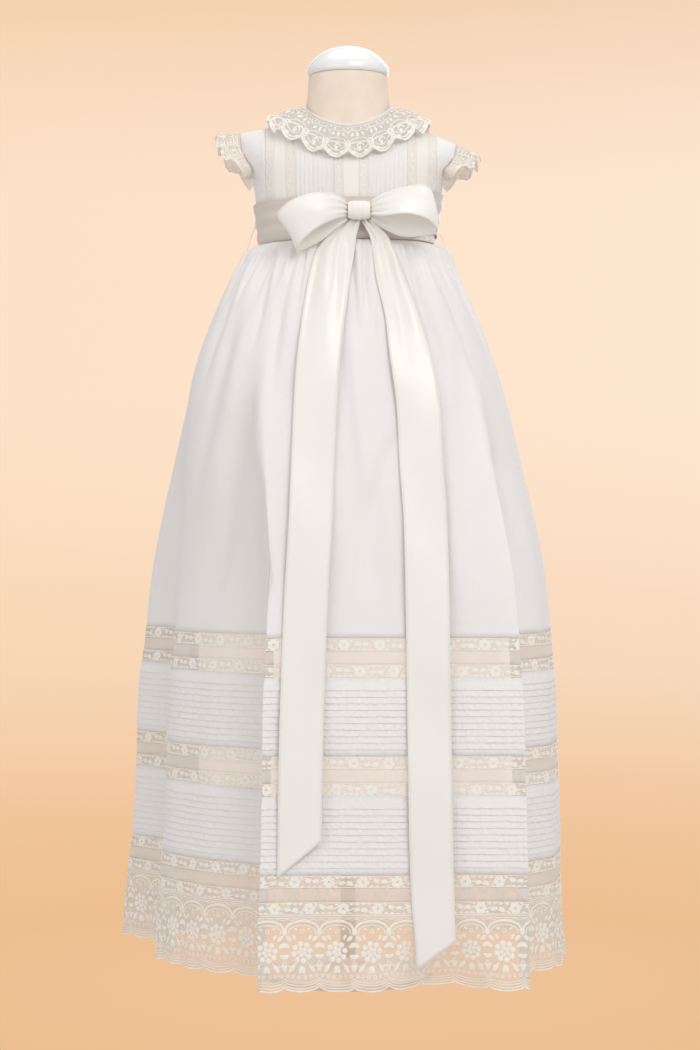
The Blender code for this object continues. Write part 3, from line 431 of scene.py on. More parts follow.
# The area of cloth that the flared skirt is cut to
FLARED_AREA = 0.50

# Thread carriers at the side seams
THREAD_LOOPS = {
    "left": (
        (-0.0900, 0.0, 0.752),
        (-0.0935, -0.006, 0.745),
        (-0.0975, -0.008, 0.733),
        (-0.1005, -0.006, 0.7225),
        (-0.0985, 0.0, 0.717),
    ),
    "right": (
        (0.0905, 0.0, 0.742),
        (0.0940, -0.006, 0.736),
        (0.0962, -0.008, 0.728),
        (0.0975, -0.006, 0.7185),
        (0.0960, 0.0, 0.712),
    ),
}
CARRIER_THICK = 0.0007

# How the lace and the threads are drawn
BATISTE_THREAD = 0.0009
SELVEDGE = 0.0016
LACE_LIFT = 0.0002
RAISED = 0.0003

# The studio. A lamp is a disk with its place, size in metres and power in watts. The backdrop's
# colour follows the distance out over the floor plus the height, as a share of its reach.
EYE = (0.002, -2.3, 0.450)
TALL_AT_FORM = 1.05
FILM = 36.0
LIGHTS = chart(
    "name place size power colour",
    ("key", (1.1, -2.6, 2.3), 2.0, 36.0, "#FFFFFF"),
    ("fill", (-2.0, -2.2, 1.2), 2.4, 9.5, "#FFFFFF"),
    ("top", (0.0, 0.4, 2.8), 2.0, 12.0, "#FFFFFF"),
    ("rear", (0.6, 2.8, 1.8), 2.4, 26.0, "#FFFFFF"),
    ("floor", (0.0, 0.0, -1.6), 2.6, 9.0, "#FFD9AE"),
)
AIM = Vector((0.0, 0.0, 0.48))
WORLD_LIGHT = 0.62
WORLD_COLOUR = "#FCFAFB"
BACKDROP_REACH = 10.0
# Stops of the backdrop's painted glow: brightest in a band, deeper towards the floor and the top.
BACKDROP = chart(
    "share colour",
    (0.000, "#EFC49B"),
    (0.046, "#EDBF91"),
    (0.089, "#F0C397"),
    (0.146, "#F1C79E"),
    (0.230, "#F5CFAA"),
    (0.361, "#F6D4B4"),
    (0.590, "#F9DABC"),
    (0.669, "#FCE1C6"),
    (0.731, "#FDE4CC"),
    (0.819, "#FDE4CC"),
    (0.858, "#F9DDC3"),
    (0.894, "#F5D3B3"),
)
BACKDROP_FLOOR = -0.0005
BACKDROP_COVE = 1.5
BACKDROP_WALL = 6.5
BACKDROP_TOP = 7.0


# Reading tables and curves


def smooth_step(t):
    """Eases from 0 to 1 as t does, and stays there."""
    t = np.clip(t, 0.0, 1.0)
    return t * t * (3.0 - 2.0 * t)


def read_table(rows, at, column):
    """A smooth curve through one column of a table, at places along its first column."""
    keys = np.array([row[0] for row in rows])
    values = np.array([getattr(row, column) for row in rows])
    order = np.argsort(keys)
    keys, values = keys[order], values[order]
    slopes = np.diff(values) / np.diff(keys)
    before, after = np.append(slopes[:1], slopes), np.append(slopes, slopes[-1:])
    rising = before * after > 0
    tangents = np.where(rising, 2.0 * before * after / np.where(rising, before + after, 1.0), 0.0)
    at = np.clip(at, keys[0], keys[-1])
    i = np.clip(np.searchsorted(keys, at) - 1, 0, len(keys) - 2)
    step = keys[i + 1] - keys[i]
    t = (at - keys[i]) / step
    start = values[i] * (1 - t) ** 2 * (1 + 2 * t) + tangents[i] * step * t * (1 - t) ** 2
    end = values[i + 1] * t * t * (3 - 2 * t) - tangents[i + 1] * step * t * t * (1 - t)
    return start + end


def through(rows, column, count):
    """A rounded curve through one column of evenly counted rows."""
    values = np.array([getattr(row, column) for row in rows])
    at = np.linspace(0, len(values) - 1, count)
    i = np.clip(at.astype(int), 0, len(values) - 2)
    t = at - i
    padded = np.concatenate([[2 * values[0] - values[1]], values, [2 * values[-1] - values[-2]]])
    a, b, c, d = (padded[i + k] for k in range(4))
    return 0.5 * (2 * b + (c - a) * t + (2 * a - 5 * b + 4 * c - d) * t**2 + (3 * b - a - 3 * c + d) * t**3)


def squared(value):
    """Sine or cosine pulled outwards, which turns an ellipse into a superellipse."""
    return np.copysign(np.abs(value) ** (2.0 / SQUARENESS), value)


def together(*parts):
    """Coordinates as one array of points."""
    return np.stack(np.broadcast_arrays(*parts), axis=-1)


def travelled(points):
    """How far along a line of points each one lies."""
    return np.append(0.0, np.cumsum(np.linalg.norm(np.diff(points, axis=0), axis=1)))


def unit(vectors):
    """Vectors of length 1."""
    return vectors / np.maximum(np.linalg.norm(vectors, axis=-1, keepdims=True), 1e-12)


# The skirt


def pleat(phase):
    """A gather's section: round on top, sharp in its valley."""
    return 2.0 * np.abs(np.cos(phase / 2.0)) - 1.0


def gathers(angle, height):
    """Pleats that the waist seam draws the cloth into, fewer and softer further down."""
    a = np.radians(angle)
    warp = 0.9 * np.sin(3 * a + 0.6) + 0.6 * np.sin(7 * a + 1.9) + 0.4 * np.sin(13 * a)
    drawn = 0.0
    for row in GATHERS:
        rise = smooth_step((WAIST - height) / row.starts)
        fade = smooth_step((height - row.ends) / row.over)
        drawn = drawn + row.depth * rise * fade * pleat(row.count * a + row.stray * warp + row.phase)
    patchy = 0.75 + 0.25 * np.sin(5 * a + 0.4)
    puff = 0.0034 * smooth_step((WAIST - 0.0004 - height) / 0.0016) * smooth_step((height - 0.706) / 0.014)
    return drawn * patchy + puff


def creases(x, height, front):
    """The listed ridges and troughs."""
    moved = np.zeros(np.shape(x))
    for row in CREASES:
        along = (row.high - height) / (row.high - row.low)
        middle = row.x_high + (row.x_low - row.x_high) * along
        ends = smooth_step((along + 0.12) / 0.35) * smooth_step((1.15 - along) / 0.45)
        facing = 1.3 * front if row.face == "front" else 1.0 - front
        moved = moved + row.out * facing * ends * np.exp(-(((x - middle) / row.width) ** 2))
    return moved


def hem_waves(angle, height):
    """Waves of the hem's lace, and the valley that it falls into behind the right ribbon."""
    a = np.radians(angle)
    strength = smooth_step((0.090 - height) / 0.090)
    ripple = 0.0026 * np.cos(20 * (a - math.radians(2.0))) * (0.9 + 0.4 * np.sin(3 * a + 1.0))
    small = 0.0014 * np.sin(53 * a + 1.4 * np.sin(5 * a))
    valley = 0.034 * (1.0 - smooth_step(np.abs(angle - 24.0) / 16.0))
    return strength * (ripple + small - valley)


def skirt_plan(angle, height):
    """The skirt's outline at this height: an oval at the waist, folded at the hem."""
    angle = (angle + 180.0) % 360.0 - 180.0
    turn = np.radians(angle)
    left, right, front, back = (
        read_table(SKIRT, height, name) for name in ("left", "right", "front", "back")
    )
    behind = smooth_step((np.abs(angle) - 81.0) / 18.0)
    half = np.where(angle > 0, right, left)
    reach = front + (back - front) * (np.abs(angle) > 90.0)
    narrower = np.where(angle > 0, right / SKIRT[-1].right, left / SKIRT[-1].left)
    shallower = (front / SKIRT[-1].front) * (1 - behind) + (back / SKIRT[-1].back) * behind
    folded = smooth_step((FOLDS_START - height) / (FOLDS_START - FULL_FOLDS))
    x = half * squared(np.sin(turn)) * (1 - folded)
    x = x + read_table(HEM_PLAN, angle, "x") * narrower * folded
    y = -reach * squared(np.cos(turn)) * (1 - folded)
    y = y + read_table(HEM_PLAN, angle, "y") * shallower * folded
    return together(x, y, height)


def outward(plan, angle, height):
    """The level direction that faces away from this outline."""
    along = plan(angle + 2.0, height) - plan(angle - 2.0, height)
    return unit(together(along[..., 1], -along[..., 0], 0.0))


def skirt_point(angle, height, out=0.0):
    """A point on the skirt's outer face, at degrees from the front towards +X, moved out."""
    angle, height = np.broadcast_arrays(np.asarray(angle, float), np.asarray(height, float))
    plan = skirt_plan(angle, height)
    away = outward(skirt_plan, angle, height)
    front = smooth_step(0.5 - plan[..., 1] / 0.08)
    moved = out + gathers(angle, height) + hem_waves(angle, height)
    return plan + away * (moved + creases(plan[..., 0], height, front))[..., None]


def around_skirt(height):
    """Angles round the skirt, and how far round the cloth each one lies at this height."""
    angles = np.linspace(-180.0, 180.0, 1441)
    return angles, travelled(skirt_point(angles, height))


# The bodice


def bodice_size(up, column):
    """The bodice's half width or depth at a place up."""
    return read_table(BODICE, up, column)


def body_surface(turn, up, face):
    """A point of the bodice's outer face, at radians from its middle and at a place up."""
    turn, up = np.broadcast_arrays(np.asarray(turn, float), np.asarray(up, float))
    rise = np.maximum(0.0, up - 1.0) * math.pi / 2
    x = bodice_size(up, "side") * squared(np.sin(turn))
    depth = bodice_size(up, face) * squared(np.cos(turn)) * np.cos(rise) + SEAM_GAP / 2
    above = UNDERARM + (read_table(SHOULDER, x, face) - UNDERARM) * np.sin(rise)
    height = np.where(up <= 1.0, WAIST + (UNDERARM - WAIST) * up, above)
    return together(x, -depth if face == "front" else depth, height)


def body_point(x, up, face, out=0.0):
    """The point at this x on the bodice, moved out along the surface's normal."""
    x, up = np.broadcast_arrays(np.asarray(x, float), np.asarray(up, float))
    share = np.minimum(np.abs(x) / bodice_size(up, "side"), 1.0)
    turn = np.copysign(np.arcsin(share ** (SQUARENESS / 2)), x)
    point = body_surface(turn, up, face)
    step = 0.01
    turn = np.clip(turn, step - math.pi / 2, math.pi / 2 - step)
    across = body_surface(turn + step, up, face) - body_surface(turn - step, up, face)
    along = body_surface(turn, np.minimum(up + step, 2.0), face)
    along = along - body_surface(turn, np.maximum(up - step, 0.0), face)
    normal = np.cross(along, across) if face == "back" else np.cross(across, along)
    return point + unit(normal) * np.asarray(out)[..., None]


def neck_up(x, face):
    """Where the neckline crosses the bodice at this x, or the shoulder seam outside it."""
    inside = np.maximum(1.0 - (np.asarray(x, float) / NECK_SIDE) ** 2, 0.0)
    depth = (NECK_FRONT if face == "front" else NECK_BACK) * np.sqrt(inside)
    across = (1.0 - (np.abs(x) / bodice_size(1.6, "side")) ** SQUARENESS) ** (1.0 / SQUARENESS)
    return 1.0 + np.arccos(depth / (bodice_size(1.6, face) * across)) * 2 / math.pi


def drawn_in(x, up):
    """Strips run straight down, and draw in with the side seams near the waist."""
    return x * np.minimum(1.0, bodice_size(up, "side") / bodice_size(0.8, "side"))


def waist_puckers(x, up):
    """Fine upright puckers where the sash draws the bodice in."""
    low = smooth_step((0.75 - up) / 0.6)
    return 0.0005 * low * np.sin(x * 900.0 + 2.0 * np.sin(x * 170.0))


def collar_point(angle, share, out=0.0):
    """A point of the collar, from the neckline (0) to its scalloped edge (1)."""
    angle, share = np.broadcast_arrays(np.asarray(angle, float), np.asarray(share, float))
    turn = np.radians(angle)
    sine, cosine = np.sin(turn), np.cos(turn)
    start = NECK_SIDE * sine
    scallop = np.abs(np.sin(turn * COLLAR_SCALLOPS / 2))
    reach = share * (0.94 + 0.06 * scallop)
    x = start + (COLLAR_SIDE * sine - start) * reach
    wave = COLLAR_WAVE * (1.0 + np.cos(turn * COLLAR_SCALLOPS)) * share
    flutter = 0.0005 * share * np.sin(turn * 57.0 + 2.0 * np.sin(turn * 5.0))
    lift = COLLAR_LIFT + wave + flutter + 0.004 * share * sine**4 + out
    made = {}
    for face, drop in (("front", COLLAR_FRONT_DROP), ("back", COLLAR_BACK_DROP)):
        edge_up = 2.0 - drop * np.abs(cosine) ** 0.62
        up = neck_up(start, face)
        made[face] = body_point(x, up + (edge_up - up) * reach, face, lift)
    return np.where((cosine > 0)[..., None], made["front"], made["back"])


def sleeve_point(side, travel, share, out=0.0):
    """A point of a sleeve ruffle. travel runs from the front underarm (0) over to the back (1)."""
    travel, share = np.broadcast_arrays(np.asarray(travel, float), np.asarray(share, float))
    sign = -1.0 if side == "left" else 1.0
    rise = 1.0 - np.abs(2 * travel - 1)
    front = travel < 0.5
    forward = np.where(front, -1.0, 1.0) * np.minimum(1.0, 5 * (1.0 - rise))
    seam_x = sign * read_table(ARMHOLE, 1.0 + rise, "x")
    ahead_edge, behind_edge = (body_point(seam_x, 1.0 + rise, face) for face in ("front", "back"))
    edge = np.where(front[..., None], ahead_edge, behind_edge)
    reach = share * (0.90 + 0.10 * np.abs(np.sin(math.pi * travel * SLEEVE_SCALLOPS)))
    away = sign * read_table(SLEEVE_RUFFLE, rise, "out")
    ahead = forward * read_table(SLEEVE_RUFFLE, rise, "forward")
    lift = read_table(SLEEVE_RUFFLE, rise, "up") + SLEEVE_LIFT[side] * smooth_step(rise)
    wave = np.cos(2 * math.pi * travel * SLEEVE_SCALLOPS) * SLEEVE_WAVE * share
    wave = wave + 0.0006 * share * np.sin(travel * 150.0 + 2 * np.sin(travel * 31.0))
    point = edge + together(away, ahead, lift) * reach[..., None]
    point[..., 0] += sign * 0.0006
    off = together(0.0, forward * 0.5, 0.85)
    return point + off * (wave + out)[..., None]


def sash_point(angle, share, out):
    """A point on the sash, from its lower edge (0) to its upper one (1)."""
    angle, share = np.broadcast_arrays(np.asarray(angle, float), np.asarray(share, float))
    turn = np.radians(angle)
    sine, cosine = np.sin(turn), np.cos(turn)
    height = SASH_BOTTOM + RIBBON_WIDTH * share + SASH_RISE_RIGHT * smooth_step((sine - 0.55) / 0.45)
    up = (height - WAIST) / (UNDERARM - WAIST)
    raised = smooth_step((sine - 0.55) / 0.45)
    out = out - 0.0018 * raised * (1.0 - share) ** 2
    out = out - 0.0013 * (1.0 - raised) * (1.0 - smooth_step(share / 0.16))
    creased = 0.0007 * np.sin(math.pi * share) * np.sin(share * 17.0 + 1.3 * np.sin(turn * 2.0) + turn)
    out = out + creased
    depth = np.where(cosine > 0, bodice_size(up, "front"), bodice_size(up, "back")) + out
    depth = depth + LAP_LIFT * np.maximum(0.0, -cosine) ** 8
    side = bodice_size(up, "side") + out
    return together(side * squared(sine), -depth * squared(cosine), height)


# Mesh work


def link(name, data):
    """A new object of the scene."""
    obj = bpy.data.objects.new(name, data)
    bpy.context.scene.collection.objects.link(obj)
    return obj


def sheet_mesh(name, points, uv, closed=False):
    """An open sheet from rows of points, top row first, with a UV map in metres."""
    rows, columns = points.shape[:2]
    index = np.arange(rows * columns).reshape(rows, columns)
    if closed:
        index = np.hstack([index, index[:, :1]])
    faces = together(index[:-1, :-1], index[1:, :-1], index[1:, 1:], index[:-1, 1:])
    corners = np.stack([uv[:-1, :-1], uv[1:, :-1], uv[1:, 1:], uv[:-1, 1:]], axis=-2)
    mesh = bpy.data.meshes.new(name)
    mesh.from_pydata(points.reshape(-1, 3).tolist(), [], faces.reshape(-1, 4).tolist())
    mesh.uv_layers.new(name="cloth").data.foreach_set("uv", corners.astype(np.float32).reshape(-1))
    mesh.shade_smooth()
    return link(name, mesh)


def settle(obj):
    """Turns an object's modifiers into its plain mesh."""
    graph = bpy.context.evaluated_depsgraph_get()
    made = bpy.data.meshes.new_from_object(obj.evaluated_get(graph))
    old = obj.data
    made.name = obj.name
    obj.modifiers.clear()
    obj.data = made
    if isinstance(old, bpy.types.Mesh) and not old.users:
        bpy.data.meshes.remove(old)
    return obj


def thicken(obj, thickness):
    """Gives a sheet its cloth's thickness, to its inner side."""
    wall = obj.modifiers.new("cloth", "SOLIDIFY")
    wall.thickness = thickness
    wall.offset = -1.0
    return settle(obj)


def ring_faces(rows, count):
    """Faces between closed rows of points."""
    faces = []
    for r in range(rows - 1):
        for i in range(count):
            j = (i + 1) % count
            faces.append((r * count + i, r * count + j, (r + 1) * count + j, (r + 1) * count + i))
    return faces


def joined(name, rows):
    """A closed solid through closed rows of points, each end a fan."""
    count = len(rows[0])
    points = [tuple(point) for row in rows for point in row]
    faces = ring_faces(len(rows), count)
    for r in (0, len(rows) - 1):
        centre = len(points)
        points.append(tuple(np.mean(np.array(rows[r]), axis=0)))
        faces += [(r * count + i, r * count + (i + 1) % count, centre) for i in range(count)]
    return solid_mesh(name, points, faces)


def solid_mesh(name, points, faces):
    """A closed mesh with its faces turned outwards."""
    mesh = bmesh.new()
    made = [mesh.verts.new(point) for point in points]
    for face in faces:
        mesh.faces.new([made[i] for i in face])
    bmesh.ops.recalc_face_normals(mesh, faces=mesh.faces)
    if mesh.calc_volume(signed=True) < 0:
        bmesh.ops.reverse_faces(mesh, faces=mesh.faces)
    data = bpy.data.meshes.new(name)
    mesh.to_mesh(data)
    mesh.free()
    data.shade_smooth()
    return link(name, data)


def dress(obj, material, nodes=()):
    """Gives a piece its finish, makes it ride and hides the solids that it stands for."""
    obj.data.materials.clear()
    obj.data.materials.append(material)
    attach(obj, "root")
    if nodes:
        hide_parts(*nodes)
    return obj


def cloth_piece(name, points, uv, thickness, finish, node, closed=False):
    """A sheet with its thickness and finish, which stands for one solid."""
    piece = thicken(sheet_mesh(name, points, uv, closed), thickness)
    return dress(piece, finish_of(finish), [node])


def turned_ring(radius, height, count=ROUND):
    """A level ring of points about the form's axis."""
    turns = [2 * math.pi * k / count for k in range(count)]
    return [(radius * math.cos(turn), radius * math.sin(turn), height) for turn in turns]


def flat_uv(piece, coordinates):
    """Gives a closed piece its cloth coordinates, worked out from each point."""
    uv = piece.data.uv_layers.new(name="cloth")
    for loop in piece.data.loops:
        uv.data[loop.index].uv = coordinates(piece.data.vertices[loop.vertex_index].co)


# Flat lace ornaments


class Ornament:
    """A flat lace ornament, drawn in metres as cords and padded shapes."""

    def __init__(self):
        self.points = []
        self.faces = []

    def cord(self, line, width, high=RAISED, closed=False):
        """A raised cord with a three-sided section along a line of (x, y) points."""
        line = np.array(line, float)
        if closed:
            along = np.roll(line, -1, axis=0) - np.roll(line, 1, axis=0)
        else:
            along = np.gradient(line, axis=0)
        side = unit(together(-along[:, 1], along[:, 0])) * width / 2
        first = len(self.points)
        for point, offset in zip(line, side):
            left, right = point + offset, point - offset
            self.points += [(left[0], left[1], 0.0), (point[0], point[1], high), (right[0], right[1], 0.0)]
        count = len(line)
        for i in range(count if closed else count - 1):
            a, b = first + 3 * i, first + 3 * ((i + 1) % count)
            self.faces += [(a + k, a + (k + 1) % 3, b + (k + 1) % 3, b + k) for k in range(3)]
        if not closed:
            last = first + 3 * (count - 1)
            self.faces += [(first, first + 2, first + 1), (last, last + 1, last + 2)]

    def pad(self, outline):
        """A padded shape: an outline raised to its middle."""
        outline = np.array(outline, float)
        first = len(self.points)
        self.points += [(x, y, 0.0) for x, y in outline]
        middle = outline.mean(axis=0)
        self.points.append((middle[0], middle[1], RAISED))
        count = len(outline)
        self.faces += [(first + i, first + (i + 1) % count, first + count) for i in range(count)]
        self.faces.append(tuple(first + i for i in range(count))[::-1])

    def petal(self, centre, turn, start, length, width, corners=7):
        """A round petal or leaf that points away from a centre."""
        outline = []
        for k in range(corners):
            a = 2 * math.pi * (k + 0.5) / corners
            along, across = start + length / 2 - math.cos(a) * length / 2, math.sin(a) * width / 2
            x = centre[0] + along * math.cos(turn) - across * math.sin(turn)
            outline.append((x, centre[1] + along * math.sin(turn) + across * math.cos(turn)))
        self.pad(outline[::-1])

    def ring(self, centre, radius, width, corners=8, high=RAISED):
        """A small eyelet."""
        a = 2 * math.pi * np.arange(corners) / corners
        line = together(centre[0] + radius * np.cos(a), centre[1] + radius * np.sin(a))
        self.cord(line, width, high, closed=True)

    def flower(self, centre, radius, petals, turn):
        """Round petals about an open eyelet."""
        width = 2.1 * radius * 0.62 * math.sin(math.pi / petals)
        for k in range(petals):
            self.petal(centre, turn + 2 * math.pi * k / petals, radius * 0.26, radius * 0.74, width * 1.25)
        self.ring(centre, radius * 0.25, radius * 0.15, high=RAISED * 1.2)

    def object(self, name):
        """The ornament as a mesh to repeat."""
        return solid_mesh(name, self.points, self.faces)


def wavy(x0, x1, y, rise, turns, count):
    """A level wave."""
    x = np.linspace(x0, x1, count)
    return together(x, y + rise * np.sin(2 * math.pi * turns * (x - x0) / (x1 - x0)))


def arch(x0, x1, foot, top, count):
    """A round arch between two feet."""
    t = np.linspace(0, math.pi, count)
    return together(x0 + (x1 - x0) * (1 - np.cos(t)) / 2, foot + (top - foot) * np.sin(t) ** 0.7)


def insertion_ornaments(pitch):
    """The flower of a lace insertion, and the sprig that stands between two flowers."""
    flower = Ornament()
    flower.flower((0.0, 0.0), 0.0059, 6, 0.3)
    sprig = Ornament()
    half = pitch / 2 - 0.0054
    sprig.cord(wavy(-half, half, 0.0016, 0.0018, 1.0, 13), 0.0010)
    for side in (-1, 1):
        sprig.petal((0.0, -0.0002), math.pi / 2 - side * (math.pi / 2 - 0.3), 0.0006, 0.0064, 0.0038)
        turn = math.pi / 2 + side * math.pi / 2
        sprig.petal((side * half * 0.92, 0.0040), turn, -0.0020, 0.0040, 0.0020, 6)
    for k in (-1.5, -0.5, 0.5, 1.5):
        sprig.petal((k * half / 2, -0.0043), 0.0, -0.0024, 0.0048, 0.0021, 6)
    return flower.object("insertion flower"), sprig.object("insertion sprig")


def hem_ornaments(pitch):
    """One repeat of the hem lace: arch, rose, leaves and fillings. y runs down from its heading."""
    top = Ornament()
    half = pitch / 2
    top.cord(arch(-half + 0.0008, half - 0.0008, -0.0160, -0.0055, 17), 0.0020)
    top.cord(arch(-half + 0.0036, half - 0.0036, -0.0175, -0.0092, 13), 0.0010)
    top.petal((half, -0.0150), -math.pi / 2, -0.0035, 0.0075, 0.0052)
    for side in (-1, 1):
        top.petal((half + side * 0.0012, -0.0188), -math.pi / 2 + side * 0.85, 0.0004, 0.0074, 0.0038)
        top.petal((side * half * 0.36, -0.0128), math.pi / 2 - side * 1.1, -0.0018, 0.0038, 0.0022, 6)
    top.ring((0.0, -0.0150), 0.0017, 0.0009)
    top.cord(wavy(-half, half, -0.0042, 0.0006, 4.0, 33), 0.0007, 0.0002)
    rose = Ornament()
    centre = (0.0, -0.0340)
    for k in range(8):
        rose.petal(centre, 0.2 + 2 * math.pi * k / 8, 0.0050, 0.0055, 0.0056)
    for k in range(5):
        rose.petal(centre, 0.7 + 2 * math.pi * k / 5, 0.0014, 0.0038, 0.0040)
    rose.ring(centre, 0.0013, 0.0008)
    for side in (-1, 1):
        leaves = (
            (0.0112, -0.0300, 0.55, 0.0088, 0.0044),
            (0.0118, -0.0368, -0.35, 0.0080, 0.0040),
            (0.0066, -0.0452, -0.95, 0.0092, 0.0042),
            (0.0004, -0.0462, -1.35, 0.0080, 0.0036),
            (0.0148, -0.0450, -1.20, 0.0070, 0.0036),
            (0.0060, -0.0228, 1.05, 0.0056, 0.0030),
        )
        for x, y, turn, length, width in leaves:
            rose.petal((side * x, y), turn if side > 0 else math.pi - turn, 0.0, length, width)
        stem = ((0.0052, -0.0440), (0.0100, -0.0478), (0.0142, -0.0462), (0.0165, -0.0420))
        rose.cord([(side * x, y) for x, y in stem], 0.0010)
        for k in range(3):
            rose.ring((side * (0.0030 + 0.0052 * k), -0.0570 + 0.0006 * k), 0.0014, 0.0008, 7)
    return top.object("hem arch"), rose.object("hem rose")


def hem_edge_ornament(pitch, drop):
    """One scallop of the hem's corded edge, drawn about the edge line itself."""
    edge = Ornament()
    for lift, width in ((0.0007, 0.0015), (0.0032, 0.0011), (0.0060, 0.0009), (0.0084, 0.0007)):
        x = np.linspace(-pitch / 2, pitch / 2, 15)
        dip = drop * (1.0 - np.abs(np.cos(math.pi * x / pitch)) ** 0.5)
        edge.cord(together(x, dip + lift), width)
    return edge.object("hem edge")


def scallop_ornament(pitch, depth):
    """One scallop of the collar and the sleeves: doubled outline, swirl, eyelets and leaves."""
    edge = Ornament()
    half = pitch / 2
    down = -math.pi / 2

    def rim(lift, count=15):
        x = np.linspace(-half, half, count)
        swell = 0.13 * (1.0 - np.abs(np.cos(math.pi * x / pitch)) ** 0.7)
        return together(x, lift - depth * (1.0 - swell))

    for lift, width in ((0.0007, 0.0014), (0.0024, 0.0010), (0.0052, 0.0008)):
        edge.cord(rim(lift), width)
    for top, width in ((-0.62, 0.0010), (-0.50, 0.0008)):
        edge.cord(arch(-half * 0.86, half * 0.86, depth * -0.84, depth * top, 13), width)
    edge.cord(arch(-half, half, depth * -0.42, depth * -0.26, 11), 0.0009)
    edge.cord([(-half, -depth * 0.12), (0.0, -depth * 0.11), (half, -depth * 0.12)], 0.0009)
    t = np.linspace(0.0, 5.2, 15)
    curl = 0.0036 * (1.0 - 0.14 * t)
    edge.cord(together(0.0004 + curl * np.cos(t), -depth * 0.755 + curl * np.sin(t)), 0.0011)
    edge.petal((0.0004, -depth * 0.755), 0.6, -0.0013, 0.0026, 0.0022)
    for side in (-1, 1):
        edge.ring((side * half * 0.98, -depth * 0.70), 0.0020, 0.0010)
        edge.petal((side * half * 0.50, -depth * 0.885), down + side * 1.2, -0.0020, 0.0042, 0.0022, 6)
        edge.petal((side * half * 0.52, -depth * 0.40), down + side * 0.6, -0.0022, 0.0050, 0.0026, 6)
        edge.petal((side * half * 0.50, -depth * 0.19), down, -0.0014, 0.0030, 0.0024, 6)
    edge.petal((0.0, -depth * 0.37), down, -0.0022, 0.0050, 0.0028, 6)
    edge.petal((half, -depth * 0.19), down, -0.0014, 0.0030, 0.0024, 6)
    return edge.object("scallop")


def braid_ornament(width):
    """One repeat of the bodice's narrow insertion: two crossing vines about a leaf."""
    braid = Ornament()
    half = 0.0060
    for sign in (-1, 1):
        x = np.linspace(-half, half, 11)
        vine = sign * (width / 2 - 0.0013) * np.cos(math.pi * x / half / 2)
        braid.cord(together(x, vine), 0.0010)
    braid.petal((0.0, 0.0), 0.0, -0.0034, 0.0068, 0.0032)
    braid.petal((half, 0.0), math.pi / 2, -0.0030, 0.0060, 0.0024, 6)
    return braid.object("braid")


def put(tree, kind, inputs=None, **settings):
    """Adds one node. inputs gives a socket its value or the output that feeds it."""
    made = tree.nodes.new(kind)
    for name, value in settings.items():
        setattr(made, name, value)
    for key, value in (inputs or {}).items():
        if isinstance(value, bpy.types.NodeSocket):
            tree.links.new(value, made.inputs[key])
        else:
            made.inputs[key].default_value = value
    return made


def maths(tree, operation, *values):
    """The result of a Math node on these values or sockets."""
    return put(tree, "ShaderNodeMath", dict(enumerate(values)), operation=operation).outputs[0]


def repeat_tree():
    """Geometry nodes that repeat a flat ornament along +X, each turned a little, as one plain mesh."""
    name = "repeat_ornament"
    if name in bpy.data.node_groups:
        return bpy.data.node_groups[name]
    tree = bpy.data.node_groups.new(name, "GeometryNodeTree")
    tree.interface.new_socket("Geometry", in_out="OUTPUT", socket_type="NodeSocketGeometry")
    kinds = {
        "Ornament": "Object",
        "Count": "Int",
        "Pitch": "Float",
        "Start": "Float",
        "Row": "Float",
        "Half Turns": "Float",
        "Wobble": "Float",
        "Material": "Material",
    }
    for socket, kind in kinds.items():
        tree.interface.new_socket(socket, in_out="INPUT", socket_type="NodeSocket" + kind)
    given = put(tree, "NodeGroupInput").outputs
    step = put(tree, "ShaderNodeCombineXYZ", {"X": given["Pitch"]})
    start = put(tree, "ShaderNodeCombineXYZ", {"X": given["Start"], "Y": given["Row"]})
    line = put(
        tree,
        "GeometryNodeMeshLine",
        {"Count": given["Count"], "Start Location": start.outputs[0], "Offset": step.outputs[0]},
    )
    source = put(tree, "GeometryNodeObjectInfo", {"Object": given["Ornament"]})
    odd = maths(tree, "MODULO", put(tree, "GeometryNodeInputIndex").outputs[0], 2.0)
    turned = maths(tree, "MULTIPLY", maths(tree, "MULTIPLY", odd, given["Half Turns"]), math.pi)
    stray = put(tree, "FunctionNodeRandomValue", {"Seed": 7}, data_type="FLOAT")
    reach = {"Min": maths(tree, "MULTIPLY", given["Wobble"], -1.0), "Max": given["Wobble"]}
    for socket in stray.inputs:
        if socket.enabled and socket.name in reach:
            tree.links.new(reach[socket.name], socket)
    stray_value = next(socket for socket in stray.outputs if socket.enabled)
    spin = put(tree, "ShaderNodeCombineXYZ", {"Z": maths(tree, "ADD", turned, stray_value)})
    laid = put(
        tree,
        "GeometryNodeInstanceOnPoints",
        {"Points": line.outputs[0], "Instance": source.outputs["Geometry"], "Rotation": spin.outputs[0]},
    )
    real = put(tree, "GeometryNodeRealizeInstances", {"Geometry": laid.outputs[0]})
    threaded = {"Geometry": real.outputs[0], "Material": given["Material"]}
    finish = put(tree, "GeometryNodeSetMaterial", threaded)
    put(tree, "NodeGroupOutput", {"Geometry": finish.outputs[0]})
    return tree


def repeated(ornament, count, pitch, start, row, half_turns=0.0, wobble=0.0):
    """The flat repeat as an array of points and a list of faces."""
    tree = repeat_tree()
    obj = link("flat lace", bpy.data.meshes.new("flat lace"))
    modifier = obj.modifiers.new("repeat", "NODES")
    modifier.node_group = tree
    values = (ornament, count, pitch, start, row, half_turns, wobble, finish_of("thread"))
    sockets = [socket for socket in tree.interface.items_tree if socket.in_out == "INPUT"]
    for socket, value in zip(sockets, values):
        modifier[socket.identifier] = value
    settle(obj)
    points = np.empty(len(obj.data.vertices) * 3)
    obj.data.vertices.foreach_get("co", points)
    faces = [tuple(face.vertices) for face in obj.data.polygons]
    bpy.data.objects.remove(obj, do_unlink=True)
    return points.reshape(-1, 3), faces


